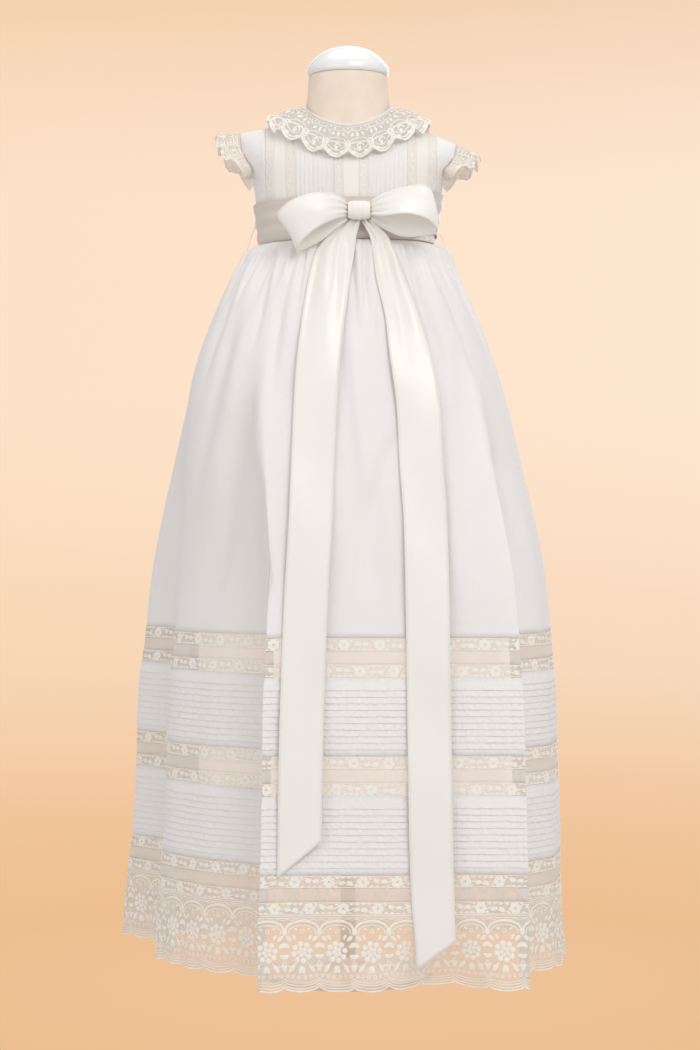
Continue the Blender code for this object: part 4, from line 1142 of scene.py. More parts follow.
class LaceWork:
    """Gathers flat repeats, laid on cloth, into one piece."""

    def __init__(self):
        self.points = []
        self.faces = []

    def lay(self, flat, place):
        """place turns arrays of flat x, y and height into points in space."""
        points, faces = flat
        first = sum(len(part) for part in self.points)
        self.points.append(place(points[:, 0], points[:, 1], points[:, 2] + LACE_LIFT))
        self.faces += [tuple(first + i for i in face) for face in faces]

    def piece(self, name):
        """The finished lace work."""
        mesh = bpy.data.meshes.new(name)
        mesh.from_pydata(np.concatenate(self.points).tolist(), [], self.faces)
        mesh.shade_flat()
        obj = link(name, mesh)
        work = bmesh.new()
        work.from_mesh(mesh)
        bmesh.ops.recalc_face_normals(work, faces=work.faces)
        work.to_mesh(mesh)
        work.free()
        return dress(obj, finish_of("thread"))


def discard(*objects):
    """Removes what only served to build a piece."""
    for obj in objects:
        bpy.data.objects.remove(obj, do_unlink=True)


# Materials


def linear(colour):
    """An sRGB hex colour, or a picked one, as linear RGBA."""
    if not isinstance(colour, str):
        return (*colour, 1.0)
    parts = [int(colour[i : i + 2], 16) / 255 for i in (1, 3, 5)]
    return (*(c / 12.92 if c <= 0.04045 else ((c + 0.055) / 1.055) ** 2.4 for c in parts), 1.0)


def principled(name, colour, roughness, **sockets):
    """A Principled material with its plain sockets set, its tree and its shader."""
    material = bpy.data.materials.new(name)
    material.use_nodes = True
    tree = material.node_tree
    shader = tree.nodes["Principled BSDF"]
    shader.inputs["Base Color"].default_value = linear(colour)
    shader.inputs["Roughness"].default_value = roughness
    for key, value in sockets.items():
        shader.inputs[key.replace("_", " ")].default_value = value
    return material, tree, shader


def noise(tree, scale, detail=2.0):
    """Soft noise over the object's own coordinates."""
    place = put(tree, "ShaderNodeTexCoord").outputs["Object"]
    return put(tree, "ShaderNodeTexNoise", {"Vector": place, "Scale": scale, "Detail": detail}).outputs[0]


def bump(tree, height, strength, distance, under=None):
    """A bumped normal, laid over another one where one is given."""
    inputs = {"Height": height, "Strength": strength, "Distance": distance}
    if under is not None:
        inputs["Normal"] = under
    return put(tree, "ShaderNodeBump", inputs).outputs[0]


def blend(tree, share, colour, other, **settings):
    """A mix of two colours."""
    colours = {0: share, 6: colour, 7: other}
    return put(tree, "ShaderNodeMix", colours, data_type="RGBA", **settings).outputs[2]


def cloth_coordinates(tree):
    """Metres across and down the cloth, from its UV map."""
    uv = put(tree, "ShaderNodeUVMap", uv_map="cloth")
    parts = put(tree, "ShaderNodeSeparateXYZ", {0: uv.outputs[0]})
    return parts.outputs[0], parts.outputs[1]


def threads(tree, place, spacing):
    """0 between threads to 1 on them, for one direction of a weave."""
    return maths(tree, "ABSOLUTE", maths(tree, "SINE", maths(tree, "MULTIPLY", place, math.pi / spacing)))


def weave(tree, across, down, spacing):
    """Height of a plain weave's threads."""
    return maths(tree, "ADD", threads(tree, across, spacing), threads(tree, down, spacing))


def woven(tree, softness, crumple):
    """Bump of the batiste's weave over the cloth's own soft crumple."""
    soft = bump(tree, noise(tree, softness, 3.0), 1.0, crumple)
    return bump(tree, weave(tree, *cloth_coordinates(tree), BATISTE_THREAD), 0.6, 0.00008, soft)


def tinted(tree, shader, colour, other, scale):
    """Slow variation between two near colours, as in washed cotton."""
    mixed = blend(tree, noise(tree, scale), linear(colour), linear(other))
    tree.links.new(mixed, shader.inputs["Base Color"])


def batiste(name, colour):
    """Plain woven combed cotton: matt, very fine thread, a soft bloom at grazing angles."""
    material, tree, shader = principled(name, colour, 0.82, Sheen_Weight=0.12, Sheen_Roughness=0.5)
    tinted(tree, shader, colour, "#F2EEEA", 9.0)
    return material, tree, shader


def cotton_batiste(colour):
    """Batiste as woven. The real thread spacing of 0.25 mm is drawn wider, as it shows in the picture."""
    material, tree, shader = batiste("cotton batiste, plain woven", colour)
    tree.links.new(woven(tree, 55.0, 0.0010), shader.inputs["Normal"])
    return material


def slip_batiste(colour):
    """Batiste that hangs inside, with a painted glow: an even emission stands in for the light that comes
    through the thin skirt.
    """
    # Painted glow: emission that lights the slip evenly in place of light through the skirt.
    painted_glow = {"Emission_Color": linear("#D8CCC2"), "Emission_Strength": 0.52}
    material, tree, shader = principled("cotton batiste, slip", colour, 0.85, **painted_glow)
    tree.links.new(woven(tree, 40.0, 0.0015), shader.inputs["Normal"])
    return material


def tucked_batiste(colour, pitch):
    """The same batiste sewn in tucks: each seam draws the cloth into short upright puckers."""
    material, tree, shader = batiste("cotton batiste, pin-tucked", colour)
    across, down = cloth_coordinates(tree)
    stretched = {"X": maths(tree, "MULTIPLY", across, 250.0), "Y": maths(tree, "DIVIDE", down, pitch)}
    strokes = put(tree, "ShaderNodeCombineXYZ", stretched).outputs[0]
    puckers = put(tree, "ShaderNodeTexNoise", {"Vector": strokes, "Scale": 1.0, "Detail": 2.0}).outputs[0]
    puckered = bump(tree, puckers, 0.9, 0.0012)
    fine = bump(tree, weave(tree, across, down, BATISTE_THREAD), 0.5, 0.00006, puckered)
    tree.links.new(fine, shader.inputs["Normal"])
    return material


def netting(tree, cell, thread, ground):
    """Alpha of a diamond net with this cell and share of thread, over a faint even ground."""
    across, down = cloth_coordinates(tree)
    lines = [threads(tree, maths(tree, way, across, down), cell) for way in ("ADD", "SUBTRACT")]
    edge = {"From Min": thread, "From Max": min(0.98, thread + 0.25), "To Min": 1.0, "To Max": ground}
    return put(tree, "ShaderNodeMapRange", {"Value": maths(tree, "MINIMUM", *lines), **edge}).outputs[0]


def cotton_net(name, colour, cell, thread, ground, sheen):
    """See-through cotton thread."""
    material, tree, shader = principled(name, colour, 0.9, Sheen_Weight=sheen)
    tree.links.new(netting(tree, cell, thread, ground), shader.inputs["Alpha"])
    return material


def cotton_tulle(name, colour, ground):
    """Fine hexagonal cotton net, seen as a veil: its 1 mm cells are drawn as a 1.2 mm diamond net."""
    return cotton_net(name, colour, 0.0012, 0.20, ground, 0.2)


def lace_ground(name, colour, cell, thread, ground):
    """The net behind lace flowers: cotton thread with open cells of just over a millimetre."""
    return cotton_net(name, colour, cell, thread, ground, 0.1)


def lace_thread(colour):
    """Mercerised cotton thread, worked in cords and close stitches: pale and slightly silky."""
    material, tree, shader = principled("cotton lace thread, mercerised", colour, 0.6, Sheen_Weight=0.2)
    tinted(tree, shader, colour, "#F4EEE2", 160.0)
    tree.links.new(bump(tree, noise(tree, 900.0, 1.0), 0.4, 0.0001), shader.inputs["Normal"])
    return material


def satin_ribbon(name, colour, other):
    """Polyester satin: smooth floats along the ribbon give a broad soft gloss, and a woven selvedge
    shows as a fine line a little in from each edge. Across the light the floats look darker."""
    gloss = {"Anisotropic": 0.35, "Sheen_Weight": 0.1, "Specular_IOR_Level": 0.5}
    material, tree, shader = principled(name, colour, 0.30, **gloss)
    tinted(tree, shader, colour, other, 14.0)
    across, down = cloth_coordinates(tree)
    near = maths(tree, "SUBTRACT", maths(tree, "ABSOLUTE", across), RIBBON_WIDTH / 2 - SELVEDGE)
    line = {"Value": maths(tree, "ABSOLUTE", near), "From Min": 0.0, "From Max": 0.0006}
    selvedge = put(tree, "ShaderNodeMapRange", line).outputs[0]
    raised = bump(tree, selvedge, 0.8, 0.0004, bump(tree, noise(tree, 38.0), 0.5, 0.0012))
    fine = bump(tree, threads(tree, down, 0.0008), 0.3, 0.00003, raised)
    tree.links.new(fine, shader.inputs["Normal"])
    return material


def linen_cover(colour):
    """Natural linen stretched over the padded form: a visible plain weave with uneven threads."""
    material, tree, shader = principled("linen cover, natural", colour, 0.88)
    tinted(tree, shader, colour, "#EFDCC6", 60.0)
    place = put(tree, "ShaderNodeTexCoord").outputs["Object"]
    x, _, z = put(tree, "ShaderNodeSeparateXYZ", {0: place}).outputs
    rough = maths(tree, "ADD", weave(tree, x, z, 0.0010), noise(tree, 700.0))
    tree.links.new(bump(tree, rough, 0.5, 0.0001), shader.inputs["Normal"])
    return material


def stoved_lacquer(name, colour, roughness):
    """Sprayed lacquer: smooth and glossy, with the faint waviness of a sprayed coat."""
    material, tree, shader = principled(name, colour, roughness, Coat_Weight=0.4, Coat_Roughness=0.08)
    waves = noise(tree, 90.0, 1.0)
    tree.links.new(bump(tree, waves, 0.15, 0.0004), shader.inputs["Normal"])
    limits = {"Value": waves, "To Min": roughness - 0.03, "To Max": roughness + 0.05}
    varied = put(tree, "ShaderNodeMapRange", limits)
    tree.links.new(varied.outputs[0], shader.inputs["Roughness"])
    return material


def pearl_button(colour):
    """Mother-of-pearl: pale, glossy, with soft cloudy layers."""
    material, tree, shader = principled("mother-of-pearl, polished", colour, 0.22, Coat_Weight=0.5)
    tinted(tree, shader, colour, "#D9D6DC", 400.0)
    return material


def backdrop_paper():
    """Seamless studio paper that glows as painted light, with no lamp on it: pale peach, its painted falloff
    deeper towards the floor.
    """
    material = bpy.data.materials.new("studio paper, pale peach")
    material.use_nodes = True
    tree = material.node_tree
    tree.nodes.clear()
    place = put(tree, "ShaderNodeTexCoord").outputs["Object"]
    x, y, height = put(tree, "ShaderNodeSeparateXYZ", {0: place}).outputs
    flat = put(tree, "ShaderNodeCombineXYZ", {"X": x, "Y": y})
    radius = put(tree, "ShaderNodeVectorMath", {0: flat.outputs[0]}, operation="LENGTH").outputs["Value"]
    along = maths(tree, "DIVIDE", maths(tree, "ADD", radius, height), BACKDROP_REACH)
    ramp = put(tree, "ShaderNodeValToRGB", {0: along})
    stops = ramp.color_ramp.elements
    while len(stops) < len(BACKDROP):
        stops.new(0.5)
    for stop, row in zip(stops, BACKDROP):
        stop.position = row.share
        stop.color = linear(row.colour)
    # Painted light across the paper: a little warmer on the left, cooler on the right.
    side = put(tree, "ShaderNodeMapRange", {"Value": x, "From Min": -1.3, "From Max": 1.3})
    painted_side_tint = blend(tree, side.outputs[0], (1.0, 0.982, 0.950, 1.0), (1.0, 1.018, 1.050, 1.0))
    shaded = blend(tree, 1.0, ramp.outputs[0], painted_side_tint, blend_type="MULTIPLY")
    glow = put(tree, "ShaderNodeEmission", {"Color": shaded, "Strength": 1.0})
    put(tree, "ShaderNodeOutputMaterial", {"Surface": glow.outputs[0]})
    return material


FINISHES = {}


def finish_of(name):
    """The gown's materials, made once each from the panel's colours."""
    colours = bpy.context.scene.gown_colours
    pitch = bpy.context.scene.gown_sizes.tuck_pitch
    if name not in FINISHES:
        FINISHES[name] = {
            "batiste": lambda: cotton_batiste(colours.batiste),
            "slip": lambda: slip_batiste(colours.batiste),
            "tucked": lambda: tucked_batiste(colours.batiste, pitch),
            "tulle": lambda: cotton_tulle("cotton tulle, fine net", colours.tulle, 0.12),
            "bodice_tulle": lambda: cotton_tulle("cotton tulle, doubled", colours.doubled, 0.92),
            "insertion": lambda: lace_ground("lace net, insertion", colours.net, 0.0014, 0.20, 0.13),
            "bodice_insertion": lambda: lace_ground("lace net, doubled", colours.doubled, 0.0014, 0.40, 0.78),
            "hem": lambda: lace_ground("lace net, hem", colours.net, 0.0020, 0.15, 0.05),
            "collar": lambda: lace_ground("lace net, collar", colours.net, 0.0012, 0.18, 0.08),
            "thread": lambda: lace_thread(colours.thread),
            "satin": lambda: satin_ribbon("polyester satin ribbon", colours.satin, "#F4F0E7"),
            # The sash's satin is the bow's ribbon drawn darker and browner: painted shade.
            "sash": lambda: satin_ribbon("polyester satin ribbon, sash", colours.sash, "#DACEC1"),
            "linen": lambda: linen_cover(colours.linen),
            "cap": lambda: stoved_lacquer("gloss lacquer, white", colours.cap, 0.22),
            "stand": lambda: stoved_lacquer("gloss lacquer, stand", colours.stand, 0.35),
            "pearl": lambda: pearl_button(colours.pearl),
        }[name]()
    return FINISHES[name]


# Settings that a user may change


def colour_setting(name, text, value):
    shown = linear(value)[:3]
    return bpy.props.FloatVectorProperty(
        name=name, description=text, default=shown, subtype="COLOR", min=0, max=1
    )


def length_setting(name, text, value):
    return bpy.props.FloatProperty(name=name, description=text, default=value, unit="LENGTH")


class GOWN_PG_sizes(bpy.types.PropertyGroup):
    """Sizes of the gown's cloth and lace."""

    cloth: length_setting("Batiste", "Thickness of the batiste", 0.0004)
    sheer: length_setting("Tulle and lace", "Thickness of the sheer cloth", 0.0003)
    ribbon: length_setting("Ribbon", "Thickness of the satin ribbon", 0.0005)
    tuck_pitch: length_setting("Tuck spacing", "From one tuck to the next", 0.0061)
    tuck_rise: length_setting("Tuck height", "How far a tuck stands off", 0.0010)
    front_tuck_rise: length_setting("Bodice tuck height", "How far a bodice tuck stands off", 0.0008)
    flower_pitch: length_setting("Flower spacing", "From one flower of the insertions to the next", 0.0325)
    scallops: bpy.props.IntProperty(name="Hem scallops", description="Repeats of the hem lace", default=44)
    scallop_drop: length_setting("Scallop depth", "Depth of the hem's scallops", 0.0045)


class GOWN_PG_colours(bpy.types.PropertyGroup):
    """Colours of the gown's finishes."""

    batiste: colour_setting("Batiste", "White cotton", "#F8F5F2")
    tulle: colour_setting("Tulle", "Sheer net", "#F3ECE6")
    doubled: colour_setting("Doubled net", "Tulle and net over the form", "#FFFAF2")
    net: colour_setting("Lace net", "Ground of the lace", "#F0E9DF")
    thread: colour_setting("Lace thread", "Flowers and cords", "#FCF8F0")
    satin: colour_setting("Satin", "Bow and tails", "#FBF8F2")
    # The sash's colour is the satin darkened as painted shade.
    sash: colour_setting("Sash", "Satin of the sash", "#E2D7CB")
    linen: colour_setting("Linen", "Cover of the form", "#FBEDDC")
    cap: colour_setting("Cap", "Neck cap", "#F5F4F3")
    stand: colour_setting("Stand", "Pole and base", "#E9CFB4")
    pearl: colour_setting("Buttons", "Back buttons", "#F0ECE4")


def sizes_of(context):
    """The sizes that the panel shows."""
    return context.scene.gown_sizes


# Operators


def skirt_rows(heights, columns=AROUND):
    """Angles and heights of a piece's points, all round the skirt."""
    return np.meshgrid(np.linspace(-180.0, 180.0, columns + 1)[:-1], np.array(heights, float))


def skirt_uv(heights, middle, columns=AROUND):
    """Metres round and up the cloth, taken at one height of the piece."""
    angles, lengths = around_skirt(middle)
    at = np.interp(np.linspace(-180.0, 180.0, columns + 1), angles, lengths)
    return together(*np.meshgrid(at, np.array(heights, float)))


def declare(piece, rests_on, with_pieces=(), area=None):
    """Turns the pieces that a sheet rests on and lies with into lists, and keeps nothing."""
    list(with_pieces)
    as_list(rests_on)


class GOWN_OT_skirt(bpy.types.Operator):
    """Plain batiste skirt, gathered into the waist, with its large folds and soft creases"""

    bl_idname = "gown.skirt"
    bl_label = "Skirt panel"

    def execute(self, context):
        low = UPPER_BAND_TOP + SEAM_GAP
        seam = [WAIST, *(SASH_BOTTOM - drop for drop in (0.0, 0.0004, 0.0008, 0.0013))]
        gathered = np.linspace(SASH_BOTTOM - 0.0030, GATHERED_LOW, 24)[:-1]
        heights = np.concatenate([seam, gathered, np.linspace(GATHERED_LOW, low, 54)])
        angle, height = skirt_rows(heights)
        points, uv = skirt_point(angle, height), skirt_uv(heights, 0.45)
        thickness = sizes_of(context).cloth
        panel = cloth_piece("skirt_batiste", points, uv, thickness, "batiste", "skirt_panel", True)
        declare(panel, ["sash"], area=FLARED_AREA)
        return {"FINISHED"}


def slip_plan(angle, height):
    """The slip's outline: round the form at its waist, near the skirt at the hips, free below."""
    turn = np.radians(angle)
    sine, cosine = np.sin(turn), np.cos(turn)
    side, front, back = (
        read_table(FORM, height, name) + SLIP_LYING for name in ("side", "front", "back")
    )
    waist = together(side * sine, -np.where(cosine > 0, front, back) * cosine, height)
    lining = skirt_plan(angle, height) - outward(skirt_plan, angle, height) * SLIP_ROOM
    place = (angle + 180.0) % 360.0 - 180.0
    x, y = read_table(SLIP_PLAN, place, "x"), read_table(SLIP_PLAN, place, "y")
    hips = smooth_step((SLIP_TOP - height) / (SLIP_TOP - SLIP_HIPS))[..., None]
    free = smooth_step((SLIP_FREE - height) / (SLIP_FREE - SLIP_HUNG))[..., None]
    upper = waist + (lining - waist) * hips
    return upper + (together(x, y, height) - upper) * free


class GOWN_OT_slip(bpy.types.Operator):
    """Plain slip inside the skirt, seen through the two upper tulle strips"""

    bl_idname = "gown.slip"
    bl_label = "Slip"

    def execute(self, context):
        heights = np.linspace(SLIP_TOP, SLIP_HEM, 48)
        angle, height = skirt_rows(heights, 180)
        turn = np.radians(angle)
        away = outward(slip_plan, angle, height)
        loose = smooth_step((0.600 - height) / 0.30)
        wave = loose * (0.0016 * np.cos(turn * 14.0 + 0.7) + 0.0010 * np.sin(turn * 23.0 + 1.0))
        uv = together(*np.meshgrid(np.linspace(0.0, 0.90, 181), heights))
        clear = 0.0040 + 0.0045 * smooth_step(-np.cos(turn) * 3.0)
        clear = clear * smooth_step((SLIP_TOP - height) / 0.06) * smooth_step((height - 0.340) / 0.08)
        points = slip_plan(angle, height) + away * (wave - clear)[..., None]
        thickness = sizes_of(context).cloth
        slip = cloth_piece("slip_batiste", points, uv, thickness, "slip", "slip", True)
        declare(slip, ["form_linen"])
        return {"FINISHED"}


class GOWN_OT_tucked_panels(bpy.types.Operator):
    """The skirt's two panels of ten level tucks"""

    bl_idname = "gown.tucked_panels"
    bl_label = "Tucked panels"

    def execute(self, context):
        sizes = sizes_of(context)
        pitch = sizes.tuck_pitch
        for name, top in (("upper_tucks", UPPER_BAND_TOP - BAND), ("lower_tucks", MIDDLE_BAND_TOP - BAND)):
            first = top - (TUCKED - TUCKS_PER_PANEL * pitch) / 2
            heights, outs = [top], [0.0]
            for i in range(TUCKS_PER_PANEL):
                for share, out in ((0.04, 0.0), (0.42, 0.62), (0.84, 0.96), (0.91, 1.0), (0.95, 0.10)):
                    heights.append(first - (i + share) * pitch)
                    outs.append(out * sizes.tuck_rise)
            for share in (1.02, 1.10):
                heights.append(first - (TUCKS_PER_PANEL - 1 + share) * pitch)
                outs.append(0.0)
            heights.append(top - TUCKED + SEAM_GAP)
            outs.append(0.0)
            angle, height = skirt_rows(heights)
            a = np.radians(angle)
            uneven = 0.8 + 0.2 * np.sin(a * 37.0 + height * 900.0) + 0.15 * np.sin(a * 91.0 - height * 1500.0)
            out = np.array(outs)[:, None] * uneven
            sewn = 0.00018 * np.sin(a * 140.0 + 5.0 * np.sin(height * 1030.0))
            points = skirt_point(angle, height, out + sewn)
            uv = skirt_uv(heights, top - TUCKED / 2)
            panel = cloth_piece(name + "_batiste", points, uv, sizes.cloth, "tucked", name, True)
            declare(panel, ["skirt_batiste"])
        return {"FINISHED"}


def skirt_strip(name, top, height, finish, thickness):
    """One level strip of the skirt between two seams."""
    low = top - height + SEAM_GAP
    heights = np.linspace(top, low, 5)
    angle, grid = skirt_rows(heights)
    points, uv = skirt_point(angle, grid), skirt_uv(heights, (top + low) / 2)
    return cloth_piece(name + "_net", points, uv, thickness, finish, name, True)


def skirt_place(height, base=None):
    """Lays flat (x round the skirt, y above its base, which is this height by itself) on the skirt."""
    angles, lengths = around_skirt(height)
    base = height if base is None else base

    def place(x, y, out):
        angle = np.interp(x % lengths[-1], lengths, angles)
        return skirt_point(angle, base + y, out)

    return place, lengths[-1]


def round_skirt(work, height, ornament, count, start, row, half_turns=0.0, wobble=0.0):
    """Repeats an ornament all round the skirt at this height."""
    place, length = skirt_place(height)
    pitch = length / count
    flat = repeated(ornament, count, pitch, start * pitch, row, half_turns, wobble)
    work.lay(flat, place)


def skirt_cord(work, height, width, high):
    """A level cord all round the skirt."""
    place, length = skirt_place(height)
    cord = Ornament()
    segment = length / AROUND
    cord.cord([(-segment / 2, 0.0), (segment / 2, 0.0)], width, high)
    piece = cord.object("cord")
    work.lay(repeated(piece, AROUND, segment, 0.0, 0.0), place)
    discard(piece)


class GOWN_OT_bands(bpy.types.Operator):
    """The skirt's three bands: tulle between two flowered lace insertions"""

    bl_idname = "gown.bands"
    bl_label = "Lace and tulle bands"

    def execute(self, context):
        sizes = sizes_of(context)
        flower, sprig = insertion_ornaments(sizes.flower_pitch)
        bands = (("upper", UPPER_BAND_TOP), ("middle", MIDDLE_BAND_TOP), ("lower", LOWER_BAND_TOP))
        for band, (name, top) in enumerate(bands):
            work = LaceWork()
            nets = []
            for k, (part, drop) in enumerate((("upper", 0.0), ("lower", INSERTION + TULLE))):
                node = f"{name}_band_insertion_{part}"
                high = top - drop
                nets.append(skirt_strip(node, high, INSERTION, "insertion", sizes.sheer))
                middle = high - INSERTION / 2
                count = round(skirt_place(middle)[1] / sizes.flower_pitch / 2) * 2
                shift = 0.37 * band + 0.5 * k
                round_skirt(work, middle, flower, count, shift, 0.0, 0.0, 0.5)
                round_skirt(work, middle, sprig, count, shift + 0.5, 0.0, 1.0, 0.05)
                for edge in (high - 0.0007, high - INSERTION + 0.0010):
                    skirt_cord(work, edge, 0.0008, 0.0004)
            tulle = skirt_strip(f"{name}_band_tulle", top - INSERTION, TULLE, "tulle", sizes.sheer)
            declare(tulle, nets[:1])
            flowers = work.piece(f"{name}_band_flowers")
            declare(nets[0], ["skirt_batiste"], [flowers])
            declare(nets[1], [tulle])
        discard(flower, sprig)
        return {"FINISHED"}


def hem_edge(x, pitch, drop):
    """Height of the hem's scalloped edge at metres round the skirt."""
    return HEM + drop * (1.0 - np.abs(np.cos(math.pi * x / pitch)) ** 0.5)


class GOWN_OT_hem_lace(bpy.types.Operator):
    """The wide hem lace: net with a scalloped edge, arches, roses and leaves"""

    bl_idname = "gown.hem_lace"
    bl_label = "Hem lace"

    def execute(self, context):
        sizes = sizes_of(context)
        angles, lengths = around_skirt(HEM_MIDDLE)
        pitch = lengths[-1] / sizes.scallops
        turns = np.linspace(-180.0, 180.0, HEM_AROUND + 1)
        at = np.interp(turns, angles, lengths)
        low = hem_edge(at, pitch, sizes.scallop_drop)
        shares = np.linspace(0.0, 1.0, 19)[:, None]
        height = HEM_LACE_TOP + (low[None, :] - HEM_LACE_TOP) * shares
        angle = np.broadcast_to(turns, height.shape)
        uv = together(at, height)
        points = skirt_point(angle[:, :-1], height[:, :-1])
        net = cloth_piece("hem_lace_net", points, uv, sizes.sheer, "hem", "hem_lace", True)
        work = LaceWork()
        place, _ = skirt_place(HEM_MIDDLE, 0.0)
        top, rose = hem_ornaments(pitch)
        edge = hem_edge_ornament(pitch, sizes.scallop_drop)
        for ornament, row in ((top, HEM_LACE_TOP), (rose, HEM_LACE_TOP), (edge, HEM)):
            work.lay(repeated(ornament, sizes.scallops, pitch, 0.0, row), place)
        discard(top, rose, edge)
        for height, width in ((HEM_LACE_TOP - 0.0006, 0.0012), (HEM_LACE_TOP - 0.0026, 0.0008)):
            skirt_cord(work, height, width, 0.0005)
        flowers = work.piece("hem_lace_flowers")
        declare(net, ["lower_band_insertion_lower_net"], [flowers])
        return {"FINISHED"}


def bodice_strip(node, left, right, columns, rows, finish, slot, thickness, relief=None):
    """One upright strip of the bodice's front, from the neckline to the waist, and its area."""
    x = np.linspace(left + SEAM_GAP / 10, right - SEAM_GAP / 10, columns)
    top = neck_up(x, "front")
    share = np.linspace(0.0, 1.0, rows)[:, None]
    up = top[None, :] + (BODICE_LOW - top[None, :]) * share
    across = drawn_in(x, up)
    out = waist_puckers(across, up)
    if relief is not None:
        out = out + relief(x, share)
    points = body_point(across, up, "front", out)
    uv = together(x, WAIST + up * (UNDERARM - WAIST))
    strip = sheet_mesh(node + ("_batiste" if slot == "batiste" else "_net"), points, uv)
    area = sum(face.area for face in strip.data.polygons)
    return dress(thicken(strip, thickness), finish_of(finish), [node]), area


def declare_strip(strip, area, tall, with_pieces=()):
    """Works out a strip's mean width, and hands declare its area where that width is under a sheet's least
    width.
    """
    wide = max(area / tall, LEAST_WIDTH)
    stated = area if wide == LEAST_WIDTH else None
    declare(strip, ["form_body"], with_pieces, stated)


class GOWN_OT_bodice_front(bpy.types.Operator):
    """The bodice's front: strips of tulle, lace insertion and upright tucks between plain sides"""

    bl_idname = "gown.bodice_front"
    bl_label = "Bodice front"

    def execute(self, context):
        sizes = sizes_of(context)
        half = CENTRE_TULLE / 2
        edges = {"centre_tulle": (-half, half)}
        for side, sign in SIDES:
            place = half
            for step, width in FRONT_STEPS:
                edges[f"{step}_{side}"] = tuple(sorted((sign * place, sign * (place + width))))
                place += width
        work = LaceWork()
        braid = braid_ornament(BODICE_INSERTION)
        first_net = None
        for step, (low, high) in edges.items():
            left, right = GOWN_MIDDLE + low, GOWN_MIDDLE + high
            middle = (left + right) / 2
            top = float(neck_up(middle, "front"))
            node = "bodice_" + step
            tall = (top - BODICE_LOW) * (UNDERARM - WAIST) + OVER_SHOULDER
            if step.startswith("tucks"):
                pitch = (right - left) / FRONT_TUCKS

                def relief(x, share, left=left, pitch=pitch):
                    phase = ((x - left) / pitch) % 1.0
                    slope, turn_back = smooth_step(phase / 0.78), smooth_step((1.0 - phase) / 0.22)
                    rise = np.where(phase < 0.78, slope, turn_back)
                    return sizes.front_tuck_rise * rise * smooth_step(share / 0.04)

                columns = FRONT_TUCKS * 9 + 1
                strip, area = bodice_strip(
                    node, left, right, columns, 60, "batiste", "batiste", sizes.cloth, relief
                )
                declare_strip(strip, area, tall)
                continue
            if "tulle" in step:
                strip, area = bodice_strip(node, left, right, 17, 50, "bodice_tulle", "tulle", sizes.sheer)
                declare_strip(strip, area, tall)
                continue
            strip, area = bodice_strip(node, left, right, 11, 50, "bodice_insertion", "lace", sizes.sheer)
            if first_net is None:
                first_net = (strip, area, tall)
            else:
                declare_strip(strip, area, tall)
            arc_up = np.linspace(BODICE_LOW, top, 200)
            length = travelled(body_point(drawn_in(middle, arc_up), arc_up, "front"))

            def place_braid(x, y, out, middle=middle, arc_up=arc_up, length=length):
                up = np.interp(x, length, arc_up)
                return body_point(drawn_in(middle + y, up), up, "front", out)

            count = int(length[-1] / BRAID_REPEAT)
            pitch = length[-1] / count
            flat = repeated(braid, count, pitch, pitch / 2, 0.0)
            flat[0][:, 0] = np.clip(flat[0][:, 0], 0.0, length[-1])
            work.lay(flat, place_braid)
        discard(braid)
        flowers = work.piece("bodice_lace_vines")
        declare_strip(*first_net, [flowers])
        outer = half + sum(width for _, width in FRONT_STEPS) + SEAM_GAP / 2
        for side, sign in SIDES:
            node = f"bodice_side_{side}"
            points, uv = side_panel([GOWN_MIDDLE + sign * outer], sign, "front", 14, 0.0)
            piece = cloth_piece(node + "_batiste", points, uv, sizes.cloth, "batiste", node)
            declare(piece, ["form_body"], area=SIDE_AREA[side])
        return {"FINISHED"}


def side_panel(fixed, sign, face, count, lift, rows=44):
    """A bodice panel whose inner columns stand at fixed x and whose outer ones reach the armhole."""
    spaced = [fixed[0]]
    for start, end in zip(fixed, fixed[1:]):
        steps = max(1, round(abs(end - start) / 0.003))
        spaced += [start + (end - start) * (i + 1) / steps for i in range(steps)]
    inner = np.array(spaced)
    on_shoulder = np.where(np.abs(inner) >= NECK_SIDE, 2.0, 0.0)
    top = np.maximum(neck_up(np.clip(inner, -NECK_SIDE, NECK_SIDE), face), on_shoulder)
    split = int(rows * 0.6)
    below = np.linspace(1.0, BODICE_LOW, rows - split + 1)[1:]
    columns = []
    for x, high in zip(inner, top):
        up = np.concatenate([np.linspace(high, 1.0, split), below])
        columns.append((drawn_in(x, up), up))
    up = np.concatenate([np.linspace(2.0, 1.0, split), below])
    edge = np.where(up > 1.0, read_table(ARMHOLE, up, "x"), bodice_size(up, "side")) * sign
    for i in range(1, count + 1):
        share = math.sin(math.pi / 2 * i / count)
        start = drawn_in(inner[-1], up)
        columns.append((start + (edge - start) * share, up))
    x = np.stack([column[0] for column in columns], axis=1)
    up = np.stack([column[1] for column in columns], axis=1)
    if x[0, 0] > x[0, -1]:
        x, up = x[:, ::-1], up[:, ::-1]
    out = waist_puckers(x, up) + lift * (1.0 - smooth_step((x - LAP) / LAP))
    points = body_point(x, up, face, out)
    uv = together(x, WAIST + up * (UNDERARM - WAIST))
    if face == "back":
        points, uv = points[:, ::-1], uv[:, ::-1]
    return points, uv


